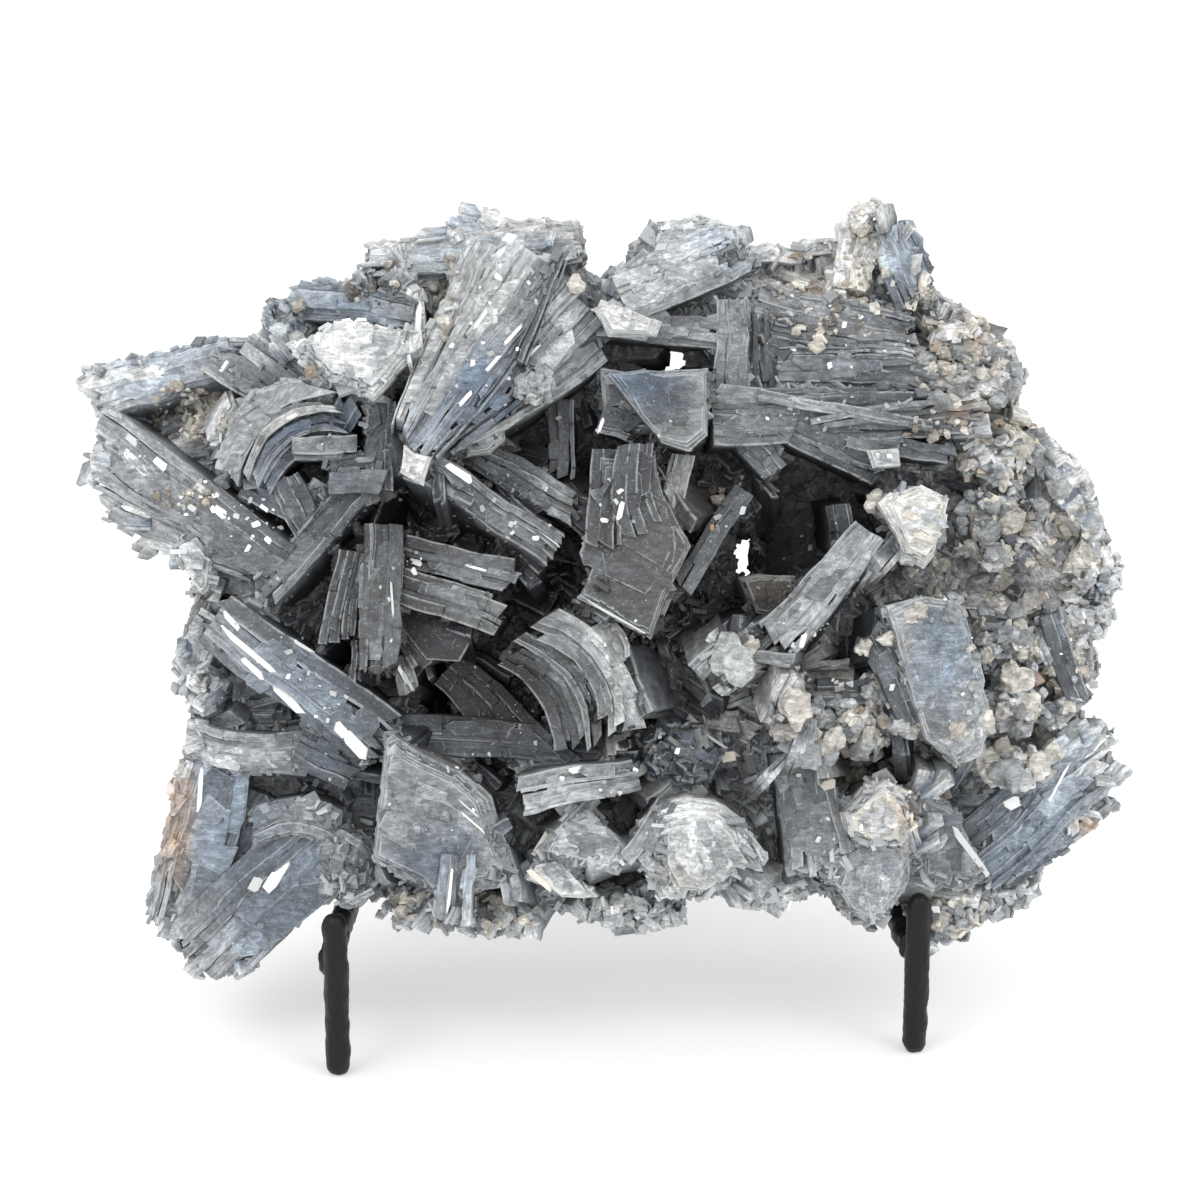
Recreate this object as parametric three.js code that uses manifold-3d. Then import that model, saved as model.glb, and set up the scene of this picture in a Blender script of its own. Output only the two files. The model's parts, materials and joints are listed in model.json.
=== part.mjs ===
// A plate of intergrown barite crystals leaning back on a welded iron stand.
// Millimetres, +Z up, the crystal face looks towards -Y. The origin is on the floor,
// under the middle of the whole object's box.

import * as THREE from 'three';
import { mergeVertices } from 'three/addons/utils/BufferGeometryUtils.js';
import Module from 'manifold-3d';

const ROD_RADIUS = 3.175; // quarter-inch round iron
const ROD_SIDES = 10;
const FOOT_FLAT_RADIUS = 2; // where a leg is ground flat to stand
const FOOT_BEVEL = 1.8; // height of the worn edge round a foot
const WELD_GAP = 0.3; // rods stop this far short of each other
const ROCK_GAP = 0.35; // the rock keeps this clear of every rod
const LEG_HEIGHT = 41.7;
const LEFT_LEG = [-63.5, -41.1];
const RIGHT_LEG = [78.2, -28.2];
const ARM_HEIGHT = 27; // middle of the shelf arms
const ARM_END = 37; // how far back the arms run
const ARM_SIDE = 2; // the arms are welded a little to the left of the legs
const BAR_OVERHANG = 5;
const LOW_BAR_HEIGHT = 52;
const HIGH_BAR_HEIGHT = 138;
const UPRIGHT_TOP = 150;
const STRUT_X = 5;
const STRUT_FOOT_Y = 84;
const STRUT_TOP_Z = 146;
const STRUT_GAP = 0.4; // wider than the other gaps, because the strut slopes across the bar

const LEAN = THREE.MathUtils.degToRad(13.3); // the plate leans back this far
const FACE_CENTRE = new THREE.Vector3(0, 0, 108.5);
const PLATE_BACK = -46; // the uprights' middle, behind the face centre
const EYE = 540; // places on the face are given as seen from this far in front of it
const OVERLAP = 0.25; // how far neighbouring blades are sunk into each other
const UNEVEN = 0.3; // how unequal the blades of one stack are
const FRONT_STEP = 0.12; // how far back a blade's front edge may stand, as a share of its depth
const BACK_STEP = [0.2, 1.6]; // how much further back than the stack's depth each blade ends
const BOW_STOPS = [0, 0.33, 0.67, 1];
const LUMPY = [0.86, 1.12]; // least and greatest reach of a lump's corners
const THROUGH = 60; // past the rock on either side
const JOIN_TOLERANCE = 0.08; // details smaller than this are smoothed away where crystals join
const BOX_SHIFT = [-0.4, -21.34]; // brings the middle of the box over the origin

const wasm = await Module();
wasm.setup();

// Random numbers from a fixed seed, so the crystals are the same every time.
let seed = 7;
function random(low, high) {
  seed = (seed + 0x6d2b79f5) | 0;
  let t = Math.imul(seed ^ (seed >>> 15), 1 | seed);
  t = (t + Math.imul(t ^ (t >>> 7), 61 | t)) ^ t;
  return low + (high - low) * (((t ^ (t >>> 14)) >>> 0) / 4294967296);
}

// Closed mesh to solid: only places are kept, and faces with no area are left out.
function solid(geometry) {
  const bare = geometry.clone();
  bare.deleteAttribute('normal');
  bare.deleteAttribute('uv');
  const merged = mergeVertices(bare, 1e-4);
  const index = merged.index.array;
  const faces = [];
  for (let k = 0; k < index.length; k += 3) {
    const [a, b, c] = [index[k], index[k + 1], index[k + 2]];
    if (a !== b && b !== c && c !== a) faces.push(a, b, c);
  }
  const mesh = new wasm.Mesh({
    numProp: 3,
    vertProperties: new Float32Array(merged.attributes.position.array),
    triVerts: new Uint32Array(faces),
  });
  return new wasm.Manifold(mesh);
}

// Rod

// Round-ended rod along Y from 0 to its length; a ground foot is flat at its lower end.
function rodShape(length, foot) {
  const r = ROD_RADIUS;
  const steps = 2;
  const profile = [];
  if (foot) {
    profile.push(new THREE.Vector2(0, 0), new THREE.Vector2(FOOT_FLAT_RADIUS, 0));
    profile.push(new THREE.Vector2(r, FOOT_BEVEL));
  } else {
    for (let k = 0; k <= steps; k++) {
      const angle = (k / steps) * (Math.PI / 2);
      profile.push(new THREE.Vector2(r * Math.sin(angle), r - r * Math.cos(angle)));
    }
  }
  for (let k = 0; k <= steps; k++) {
    const angle = (k / steps) * (Math.PI / 2);
    profile.push(new THREE.Vector2(r * Math.cos(angle), length - r + r * Math.sin(angle)));
  }
  profile[0].x = 0;
  profile[profile.length - 1].x = 0;
  return new THREE.LatheGeometry(profile, ROD_SIDES);
}

const blackIron = new THREE.MeshStandardMaterial({ color: 0x17181a, roughness: 0.5, metalness: 0.4 });
const stand = new THREE.Group();

function rod(name, from, to, foot = false) {
  const start = new THREE.Vector3(...from);
  const run = new THREE.Vector3(...to).sub(start);
  const mesh = new THREE.Mesh(rodShape(run.length(), foot), blackIron);
  mesh.name = name;
  mesh.position.copy(start);
  mesh.quaternion.setFromUnitVectors(new THREE.Vector3(0, 1, 0), run.normalize());
  stand.add(mesh);
}

// Stand: two front legs whose tops are the lips that hold the rock, two shelf arms,
// two leaning uprights, two cross bars, and one strut with a stay to the low bar.

const apart = 2 * ROD_RADIUS + WELD_GAP;
const armStart = Math.sqrt(apart ** 2 - ARM_SIDE ** 2) - ROD_RADIUS;
// Place behind the plate: across, height above the floor, and depth behind the face centre.
function behind(x, height, depth) {
  const up = (height - FACE_CENTRE.z - depth * Math.sin(LEAN)) / Math.cos(LEAN);
  return [x, up * Math.sin(LEAN) - depth * Math.cos(LEAN), height];
}

const legs = { left: LEFT_LEG, right: RIGHT_LEG };
for (const [side, [x, y]] of Object.entries(legs)) {
  rod(`front_leg_${side}`, [x, y, 0], [x, y, LEG_HEIGHT], true);
  rod(`shelf_arm_${side}`, [x - ARM_SIDE, y + armStart, ARM_HEIGHT], [x - ARM_SIDE, ARM_END, ARM_HEIGHT]);
  const uprightFoot = behind(x - ARM_SIDE, ARM_HEIGHT + apart - ROD_RADIUS, PLATE_BACK);
  rod(`back_upright_${side}`, uprightFoot, behind(x - ARM_SIDE, UPRIGHT_TOP, PLATE_BACK));
}
const barLeft = LEFT_LEG[0] - ARM_SIDE - BAR_OVERHANG;
const barRight = RIGHT_LEG[0] - ARM_SIDE + BAR_OVERHANG;
for (const [name, height] of [['low', LOW_BAR_HEIGHT], ['high', HIGH_BAR_HEIGHT]]) {
  const depth = PLATE_BACK - apart;
  rod(`cross_bar_${name}`, behind(barLeft, height, depth), behind(barRight, height, depth));
}
const highBarY = behind(0, HIGH_BAR_HEIGHT, PLATE_BACK - apart)[1];
const lowBarY = behind(0, LOW_BAR_HEIGHT, PLATE_BACK - apart)[1];
const strutTopY = highBarY + 2 * ROD_RADIUS + STRUT_GAP;
const strutSlope = (STRUT_FOOT_Y - strutTopY) / STRUT_TOP_Z;
const strutFootZ = FOOT_FLAT_RADIUS * Math.sin(Math.atan(strutSlope)); // its edge meets the floor
rod('rear_strut', [STRUT_X, STRUT_FOOT_Y, strutFootZ], [STRUT_X, strutTopY, STRUT_TOP_Z], true);
const stayEnd = STRUT_FOOT_Y - strutSlope * LOW_BAR_HEIGHT - apart + ROD_RADIUS;
const stayStart = lowBarY + apart - ROD_RADIUS;
rod('strut_stay', [STRUT_X, stayStart, LOW_BAR_HEIGHT], [STRUT_X, stayEnd, LOW_BAR_HEIGHT]);

// Crystals, on the face of the plate: x to the right, y up the face, z out of it.

const near = (z) => 1 - z / EYE; // what stands nearer the eye is drawn in towards the middle
const place = ([x, y, z]) => new THREE.Vector3(x * near(z), y * near(z), z);
const rock = [];

// Solid of an outline (x, y), from one depth to another.
function prism(points, back, front) {
  const shape = new THREE.Shape(points.map(([x, y]) => new THREE.Vector2(x, y)));
  const geometry = new THREE.ExtrudeGeometry(shape, { depth: front - back, bevelEnabled: false });
  return geometry.translate(0, 0, back);
}

// How far a blade's end is set back at a place s across the stack, from -0.5 to 0.5.
const ENDS = {
  square: () => 0,
  slant: (s) => 0.5 + s,
  back: (s) => 0.5 - s,
  point: (s) => 2 * Math.abs(s),
  round: (s) => 4 * s * s,
};

// Long blades side by side, from a root to a tip. The places are on their front edge, wide is
// how broad the stack looks, and deep is how far it goes back into the rock.
function blades(root, tip, wide, deep, options = {}) {
  const { roll = 0, plates = 2, end = 'square', fan = 0, bow = 0, slip = 0.14, cut = 0.5 } = options;
  const from = place(root);
  const along = place(tip).sub(from);
  const length = along.length();
  along.normalize();
  const side = new THREE.Vector3(0, 0, 1).cross(along).normalize();
  side.applyAxisAngle(along, THREE.MathUtils.degToRad(roll));
  const out = along.clone().cross(side);
  const frame = new THREE.Matrix4().makeBasis(along, side, out).setPosition(from);
  const breadth = wide * near((root[2] + tip[2]) / 2);
  const stops = bow ? BOW_STOPS : [0, 1];
  let low = -0.5;
  for (let k = 0; k < plates; k++) {
    const share = ((0.5 - low) / (plates - k)) * random(1 - UNEVEN, 1 + UNEVEN);
    const high = k === plates - 1 ? 0.5 : low + share;
    const reach = length - random(0, slip) * breadth * (plates > 1 ? 1 : 0);
    const middle = low < -0.05 && high > 0.05 && (end === 'point' || end === 'round') ? [0] : [];
    const tipPoints = [low, ...middle, high].map((s) => [reach - cut * breadth * ENDS[end](s), s]);
    const edge = (s, last) => stops.map((t) => [t * last, s * breadth + bow * 4 * t * (1 - t)]);
    const lower = edge(low, tipPoints[0][0]);
    const upper = edge(high, tipPoints[tipPoints.length - 1][0]).reverse();
    const middlePoints = middle.map((s, m) => [tipPoints[m + 1][0], s * breadth]);
    const front = -random(0, FRONT_STEP) * deep;
    const back = -deep - random(...BACK_STEP);
    const plate = prism([...lower, ...middlePoints, ...upper], back, front);
    const turn = plates > 1 ? fan * (k / (plates - 1) - 0.5) : 0;
    plate.rotateZ(THREE.MathUtils.degToRad(turn));
    rock.push(solid(plate.applyMatrix4(frame)));
    low = high - OVERLAP / breadth;
  }
}

// Broad plate whose face is seen, given by its outline: each ledge nearer the eye is smaller.
function slab(outline, z, deep, options = {}) {
  const { slope = [0, 0], ledges = 2, shrink = 0.14, rise = 1.8, towards = [0, 0] } = options;
  const points = outline.map(([x, y]) => [x * near(z), y * near(z)]);
  const sum = points.reduce((s, p) => [s[0] + p[0], s[1] + p[1]], [0, 0]);
  const centre = sum.map((v) => v / points.length);
  const shear = new THREE.Matrix4().set(1, 0, 0, 0, 0, 1, 0, 0, slope[0], slope[1], 1, 0, 0, 0, 0, 1);
  for (let k = 0; k < ledges; k++) {
    const scale = 1 - shrink * k;
    const at = points.map((p) => [0, 1].map((i) => (p[i] - centre[i] - towards[i]) * scale + towards[i]));
    const plate = prism(at, OVERLAP * k - deep, rise * (k + 1 - ledges));
    plate.applyMatrix4(shear).translate(centre[0], centre[1], z);
    rock.push(solid(plate));
  }
}

// Rough lump or pebble.
function lump(centre, radii) {
  const bare = new THREE.IcosahedronGeometry(1, 0);
  bare.deleteAttribute('normal');
  bare.deleteAttribute('uv');
  const ball = mergeVertices(bare, 1e-4);
  const spots = ball.attributes.position;
  for (let k = 0; k < spots.count; k++) {
    const size = random(...LUMPY);
    spots.setXYZ(k, spots.getX(k) * size, spots.getY(k) * size, spots.getZ(k) * size);
  }
  ball.scale(...radii);
  const at = place(centre);
  rock.push(solid(ball.translate(at.x, at.y, at.z)));
}

// Matrix that the crystals grew on: a slab with a worn rim and two gaps right through it.

const CORE_BACK = -41;
const CORE_FRONT = -3.3;
const CORE_WEAR = 7;
const coreOutline = [
  [-113, 44], [-103, 57], [-88, 66], [-78, 73], [-66, 82], [-34, 90], [-6, 88], [2, 79], [12, 90], [34, 92],
  [44, 87], [62, 91], [76, 88], [84, 77], [98, 66], [106, 58], [108, 46], [119, 31], [127, 15], [127, -4],
  [121, -18], [124, -40], [104, -64], [96, -76], [66, -77], [40, -74], [0, -79], [-30, -82], [-50, -76],
  [-70, -76], [-88, -82], [-102, -72], [-98, -44], [-103, -30], [-102, -12], [-96, 0], [-100, 14],
];
const gaps = [
  [[11, 61.5], [13, 63], [19, 62], [20, 60], [14, 59]],
  [[34, 16], [37.5, 16.5], [37.5, 6.5], [34, 6.5]],
];
const HOLLOW_FLOOR = -25;
const hollows = [
  [[-44, -13], [-34, -13], [-26, -18], [-20, -28], [-16, -37], [-30, -38], [-44, -32], [-50, -24]],
  [[41, 35], [56, 37], [70, 30], [70, 14], [62, 2], [50, 8], [42, 0], [40, 16]],
];

function core() {
  const shape = new THREE.Shape(coreOutline.map(([x, y]) => new THREE.Vector2(x, y)));
  const geometry = new THREE.ExtrudeGeometry(shape, {
    depth: CORE_FRONT - CORE_BACK - 2 * CORE_WEAR,
    bevelSegments: 1,
    bevelSize: CORE_WEAR,
    bevelThickness: CORE_WEAR,
    bevelOffset: -CORE_WEAR,
  });
  geometry.translate(0, 0, CORE_BACK + CORE_WEAR);
  let matrix = solid(geometry);
  for (const gap of gaps) matrix = matrix.subtract(solid(prism(gap, -THROUGH, THROUGH)));
  for (const hollow of hollows) matrix = matrix.subtract(solid(prism(hollow, HOLLOW_FLOOR, THROUGH)));
  return matrix;
}

// Upper left

blades([-92, 61, 4], [-132, 50.5, 3], 11.5, 16, { roll: 12, end: 'slant' });
blades([-98, 60, 8], [-81, 51, 12], 8, 14, { plates: 2 });
blades([-89, 64, 9], [-74, 54, 13], 7, 14, { plates: 2 });
blades([-80, 9, 12], [-130, 45, 3], 13.5, 16, { roll: -8, end: 'slant', cut: 0.35 });
blades([-88, 11, 6], [-126, 33, 2], 7, 14, { plates: 2 });
blades([-86, 9, 5], [-122, 24, 2], 7.5, 14, { plates: 2 });
blades([-86, 7, 4], [-115, 17.5, 1], 6.5, 14, { plates: 2 });
slab([[-107, 14.5], [-102, 16], [-97, 10], [-98, 2.5], [-100, 1], [-106, 10.5]], 6, 14, { ledges: 1 });
blades([-97, 36, 15], [-64, 46, 18], 11, 22, { bow: 8, plates: 3 });
blades([-79, 42, 17], [-59, 33, 16], 6.5, 18, { plates: 2 });
blades([-88, 32, 13], [-66, 22, 12], 8, 16, { plates: 2 });
blades([-56, 52, 15], [-56, 27, 16], 6.5, 18, { plates: 1 });
blades([-68, 30, 16], [-53.5, 30, 16], 7.5, 18, { plates: 1 });
blades([-61, 27, 14], [-86, 1, 12], 8.5, 18, { roll: 10 });
blades([-62, 12, 16], [-66.5, -13, 18], 8, 22, { plates: 2, end: 'slant' });
blades([-54, 19, 18], [-55.5, -19.5, 24], 10.5, 28, { plates: 2, end: 'slant', cut: 0.3, roll: -8 });
slab([[-79, 64], [-67.5, 69], [-45, 67.5], [-47, 60], [-57.5, 50.5], [-70, 54]], 24, 28,
  { slope: [0.05, 0.3], ledges: 2, towards: [2, 5] });
blades([-47, 71, 15], [-78, 76, 10], 9, 20);
slab([[-76, 78], [-70, 82], [-64, 80], [-64, 74], [-70, 72.5]], 9, 14, { ledges: 1 });
slab([[-55, 81], [-50, 84.5], [-45, 80], [-50, 74.5]], 11, 18, { slope: [0.2, -0.2], ledges: 1 });
lump([-79, 69.5, 8], [5.5, 6, 7]);

// Top and the big fan that points down to the left

blades([-5, 90, 2], [-63, 83.5, 1], 10.5, 22, { end: 'back', plates: 3 });
slab([[-47, 90], [-34, 95], [-30, 97.5], [-24, 96], [-13, 95.5], [-10, 90], [-28, 86]], -1, 16,
  { ledges: 1 });
blades([-46, 78, 12], [-45.5, 60, 18], 4, 16, { plates: 1 });
blades([-33, 86, 10], [-35, 56, 20], 8, 20, { fan: 5 });
blades([-14, 87, 14], [-48, 41, 26], 7.5, 24, { plates: 2 });
blades([-9, 81, 17], [-45.5, 36, 31], 8, 28, { plates: 2 });
blades([-4, 73, 17], [-41, 38, 29], 8, 26, { plates: 2 });
blades([-1, 64, 14], [-36, 40, 25], 7.5, 22, { plates: 2 });
slab([[-49, 39], [-42, 36.5], [-45, 29], [-51, 32]], 33, 26, { ledges: 1, slope: [0.1, 0.2] });
blades([-10, 86, 20], [-20, 60, 27], 3, 18, { plates: 1 });
lump([-16, 54, 22], [4.5, 4.5, 6]);
slab([[-30, 46], [-24.5, 44], [-23.5, 40.5], [-27, 36.5], [-34, 35], [-35.5, 41]], 23, 22);
blades([-9.5, 50, 10], [-9.5, 31, 12], 6.5, 16, { plates: 2 });
blades([-43, 33.5, 28], [-10.5, 12.5, 22], 8.5, 26, { plates: 2, roll: -10, slip: 0.05 });
blades([-33, 38, 17], [-3, 21, 14], 8.5, 18, { plates: 2, end: 'slant' });
blades([-49, 12.5, 16], [-19, 5, 18], 8.5, 20, { plates: 2, end: 'round' });
blades([-50, 4, 18], [-23, -5, 20], 9, 22, { plates: 2, end: 'round' });
slab([[-50, 1], [-41, 2], [-32, -2], [-32, -10], [-35, -15], [-44, -15], [-50, -8]], 12, 18,
  { slope: [0.1, -0.2], ledges: 1 });

// Top right: a grey stack, a bright plate under it, and matrix with layered ridges

blades([5, 76, 6], [36, 89, 2], 15, 22, { plates: 4, end: 'slant', cut: 0.3 });
slab([[8, 89], [14, 94], [25, 96.5], [34, 94], [36, 87], [26, 80], [9, 82]], 0, 16, { ledges: 1 });
slab([[-2.5, 73], [3, 75.5], [15, 71], [14, 67], [2, 66]], 20, 20, { slope: [0, 0.2] });
blades([-1, 69, 12], [32, 66, 12], 7, 18, { plates: 2 });
slab([[1.5, 57], [10, 59], [28, 57.5], [27, 41], [22.5, 37], [15.5, 39], [9.5, 46]], 25, 28,
  { slope: [0.05, -0.12], ledges: 2, towards: [2, 3] });
slab([[0, 58], [8, 57], [8, 48], [1, 48]], 15, 18, { slope: [0.2, 0.1], ledges: 1 });
blades([0, 45.5, 17], [10, 42, 17], 6.5, 18, { plates: 1 });
blades([33, 75, 12], [33.5, 47, 14], 8, 18, { plates: 2 });
blades([41, 72, 8], [42, 50, 8], 6, 16, { plates: 2 });
lump([54, 66, 2], [20, 15, 10]);
blades([38, 86, 1], [51, 87, 0], 4.5, 16, { plates: 1 });
blades([50, 88.5, 0], [60, 89, 0], 4, 16, { plates: 1 });
blades([40, 76, 9], [78, 66, 10], 9, 16);
blades([45, 59, 11], [86, 57, 10], 9, 18, { plates: 2 });
blades([62, 78, 5], [65, 96, 0], 9, 18, { plates: 2 });
lump([66, 95, 0], [4.2, 4, 5]);
blades([72, 93, 2], [81, 73, 6], 12, 20, { end: 'slant' });
slab([[82, 69], [84, 79], [94, 71], [91, 66]], 5, 18, { slope: [0.2, 0], ledges: 1 });
lump([90, 64, 6], [9, 6, 8]);
slab([[96, 66], [104, 65.5], [107, 57], [106, 50], [98, 50]], 5, 20, { ledges: 1 });
blades([86, 56, 11], [105, 52.5, 8], 6.5, 14, { plates: 1, end: 'point' });

// Right of the middle: the long horizontal stack over the large hollow

blades([31, 46, 18], [95, 47, 14], 13, 24, { slip: 0.1 });
blades([48, 42, 18], [72, 32, 14], 7, 18, { plates: 2, end: 'slant' });
slab([[67, 38], [75, 38.5], [76, 34], [69, 33]], 18, 26, { ledges: 1 });
blades([31, 46, 16], [45, 31, 16], 6.5, 20, { plates: 2 });
blades([67.5, 17, 23], [44, -10.5, 27], 10.5, 34, { plates: 2, roll: 8 });
blades([60, 24, 11], [62, 9, 10], 6, 40, { plates: 1 });
slab([[70, 24], [73, 27.5], [79, 29.5], [88, 26], [88, 20], [86, 13], [82, 7.5], [76, 10], [74.5, 16]],
  25, 32, { slope: [-0.1, 0.05], towards: [2, 1] });
slab([[34, 5], [39, 6.5], [49, 6], [50, 0], [45, -6], [38, -5]], 12, 24, { slope: [0, 0.3], ledges: 1 });
slab([[107.5, 45], [114, 41], [119, 31], [124.5, 24], [127, 16], [121, 15], [115, 25], [109, 35]], 3, 20,
  { ledges: 1 });
lump([123, 7, -2], [6, 7, 8]);
lump([120, -4, -2], [8, 7, 9]);
lump([116, -15, -2], [9, 9, 10]);
lump([99, 36, 3], [11, 8, 9]);
lump([100, 18, 3], [12, 11, 10]);
lump([101, -12, 4], [10, 8, 9]);
lump([103, -27, 5], [9, 8, 9]);

// Middle: the tall crystal with the sharp tip, and what stands round it

slab([[0, 36], [14, 38], [17, 25], [23, 14], [17, 0], [13, -10], [-5.5, 0.5], [0, 14], [-0.5, 25]], 25, 32,
  { slope: [-0.1, -0.12], shrink: 0.1, towards: [2, -4] });
blades([2, 38, 20], [1, 12, 29], 8, 26, { plates: 1, end: 'round', cut: 0.3 });
blades([21, 36, 16], [17, 18, 19], 6, 20, { plates: 1, end: 'slant' });
blades([36, 27.5, 18], [20, 3, 22], 5.5, 22, { plates: 1 });
slab([[27, -15], [30, -9], [35, -6.5], [41, -9], [41, -16], [37, -21], [33, -24], [29, -21]], 25, 30,
  { slope: [0.1, 0.1] });
blades([-11, -4, 22], [8, -34, 22], 9, 26, { bow: 7, plates: 2 });
blades([-20, -8, 20], [-3, -34, 22], 8.5, 24, { bow: 7, plates: 2 });
blades([-24, -13, 16], [-10, -36, 18], 7.5, 22, { bow: 6, plates: 2 });
blades([-38, -17, 5], [-17, -38, 6], 12, 34, { plates: 2 });
blades([-51, -33, 10], [10, -38, 10], 10, 20);
blades([-50, -14, 9], [-48, -23, 11], 5, 16, { plates: 1 });

// Lower left: a long blue stack, curved plates, and two drooping lobes

blades([-96, -5, 16], [-54, -36, 18], 15.5, 26, { plates: 4, slip: 0.12 });
blades([-104, -34, 8], [-66, -36, 12], 10, 22, { bow: -3, plates: 2 });
blades([-97, -1, 5], [-103.5, -20, 2], 8, 16, { plates: 2 });
lump([-100, -22, 3], [5.5, 6, 7]);
blades([-76, -36, 14], [-60, -44, 14], 9, 20, { plates: 2 });
blades([-95, -38, 7], [-106, -85, 4], 18, 24, { end: 'round', cut: 0.25, plates: 3 });
blades([-82, -50, 3], [-104, -88, 0], 14, 20, { plates: 1 });
blades([-69, -60, 10], [-104, -93, 4], 21, 24, { end: 'round', cut: 0.3, plates: 3 });
blades([-87, -58, 13], [-64, -58, 13], 10, 22, { bow: 4, plates: 2 });
lump([-63, -66, 9], [8, 9.5, 11]);
slab([[-52, -33], [-36, -42.5], [-27.5, -49.5], [-21, -67.5], [-24, -72.5], [-40, -76], [-57, -65.5],
  [-55.5, -50], [-54, -35]], 28, 36, { slope: [-0.12, 0.1], ledges: 2, shrink: 0.1, towards: [-6, -2] });
blades([-36, -64, 28], [-37, -83.5, 25], 9, 24, { plates: 2, end: 'round', cut: 0.3 });
lump([-43, -76, 8], [12, 6, 12]);
lump([-25, -78, 4], [11, 6.5, 12]);

// Lower middle: a pale bar, stepped white plates, and the large cream plate

blades([9, -43.5, 28], [-20.5, -49, 30], 8.5, 28, { plates: 2, slip: 0.1 });
slab([[-10, -54], [-3, -52], [8, -63], [5, -70], [-17, -64]], 26, 30, { ledges: 2, slope: [0.1, 0] });
slab([[-17, -66], [-10, -65], [0, -74], [-10, -74.5], [-19, -70]], 22, 28, { ledges: 1 });
slab([[9, -56], [12.5, -52], [22, -50], [30, -51], [36, -55], [43, -65], [41, -69], [35, -71], [25, -75.5],
  [14, -75], [10, -66]], 27, 34, { slope: [0, -0.08], shrink: 0.18, towards: [4, -4] });
lump([8, -76, 6], [14, 5.5, 12]);
lump([42, -71, 5], [11, 5, 11]);
lump([20, -38, 8], [13, 9, 10]);

// Lower right: a striated stack, round-edged plates, the wedge, and the blue blades at the rim

blades([50, -38, 16], [55, -69, 18], 15, 26, { plates: 4 });
slab([[59, -60], [66, -58], [78, -60], [79, -66], [76, -75], [72, -81], [67, -83], [61, -80], [57, -72]],
  15, 28, { slope: [-0.1, 0.05] });
slab([[61, -54], [66, -48], [72, -44.5], [78, -48], [79, -57], [75, -62], [68, -63], [62, -60]], 27, 32,
  { slope: [0.05, 0.1], towards: [-1, -1] });
lump([49, -28, 17], [6.5, 6.5, 9]);
lump([51, -36, 17], [7, 5, 9]);
lump([65, -32, 10], [10, 7.5, 10]);
blades([43.5, -20.5, 12], [51, -20, 14], 6, 18, { plates: 1 });
blades([54, -23, 14], [71, -23, 14], 6.5, 18, { plates: 1 });
slab([[71, -2], [80, 1], [90, 0], [93, -8], [99, -30], [97, -38], [90, -42], [82, -35], [78, -24]], 25, 36,
  { slope: [0.1, 0.08], ledges: 2, shrink: 0.12, towards: [-3, 4] });
blades([68, -8, 18], [80, -31, 22], 8, 26, { plates: 2 });
blades([113, -4, 8], [120, -26, 8], 5.5, 18, { plates: 1 });
blades([121, -23, 8], [113, -31, 8], 5, 18, { plates: 1 });
lump([104, -42, 7], [9, 4.5, 8]);
blades([90, -62, 4], [128, -29, 2], 9, 22, { plates: 2, end: 'slant' });
blades([96, -69, 4], [131, -37, 2], 10, 22, { plates: 2, end: 'slant' });
blades([97, -72, 2], [127, -47, 0], 9, 20, { plates: 2 });
blades([92, -71, 0], [112, -73, 0], 8.5, 18, { plates: 1, end: 'back' });
slab([[79, -45], [88, -50], [98, -70], [92, -73], [80, -72]], 12, 24, { slope: [0.15, 0] });
lump([86, -78, -2], [10, 6.5, 10]);
lump([97, -74, -3], [7, 6, 9]);

// Back: broken blades that lean outwards all over it

const BACK_BLADES = 18;
const BACK_SPREAD = [84, 52];
const BACK_ROOT = -38;
const BACK_TIP = [-40, -30]; // depth of the tips in the middle and at the rim
const GOLDEN_ANGLE = Math.PI * (3 - Math.sqrt(5));
for (let k = 0; k < BACK_BLADES; k++) {
  const share = Math.sqrt((k + 0.5) / BACK_BLADES);
  const [dx, dy] = [Math.cos(k * GOLDEN_ANGLE), Math.sin(k * GOLDEN_ANGLE)];
  const reach = random(14, 24);
  const root = [dx * share * BACK_SPREAD[0], dy * share * BACK_SPREAD[1], BACK_ROOT];
  const tipDepth = THREE.MathUtils.lerp(...BACK_TIP, share);
  const tip = [root[0] + dx * reach, root[1] + dy * reach, tipDepth];
  blades(root, tip, random(9, 16), random(8, 13), { plates: 1, roll: random(-25, 25), end: 'slant' });
}

// The rock is joined into one piece, and clear of the rods all round.

const face = new THREE.Object3D();
face.position.copy(FACE_CENTRE);
face.rotation.x = Math.PI / 2 - LEAN;
face.updateMatrix();
const toFace = face.matrix.clone().invert();
const grow = 1 + ROCK_GAP / ROD_RADIUS;
stand.updateMatrixWorld(true);

function clearance(mesh) {
  mesh.geometry.computeBoundingBox();
  const length = mesh.geometry.boundingBox.max.y;
  const wider = new THREE.Matrix4().makeScale(grow, 1 + (2 * ROCK_GAP) / length, grow);
  wider.setPosition(0, -ROCK_GAP, 0);
  const shape = mesh.geometry.clone().applyMatrix4(wider);
  return solid(shape.applyMatrix4(mesh.matrixWorld).applyMatrix4(toFace));
}

let cluster = wasm.Manifold.union([core(), ...rock]);
for (const mesh of stand.children) cluster = cluster.subtract(clearance(mesh));
cluster = cluster.setTolerance(JOIN_TOLERANCE);

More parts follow.
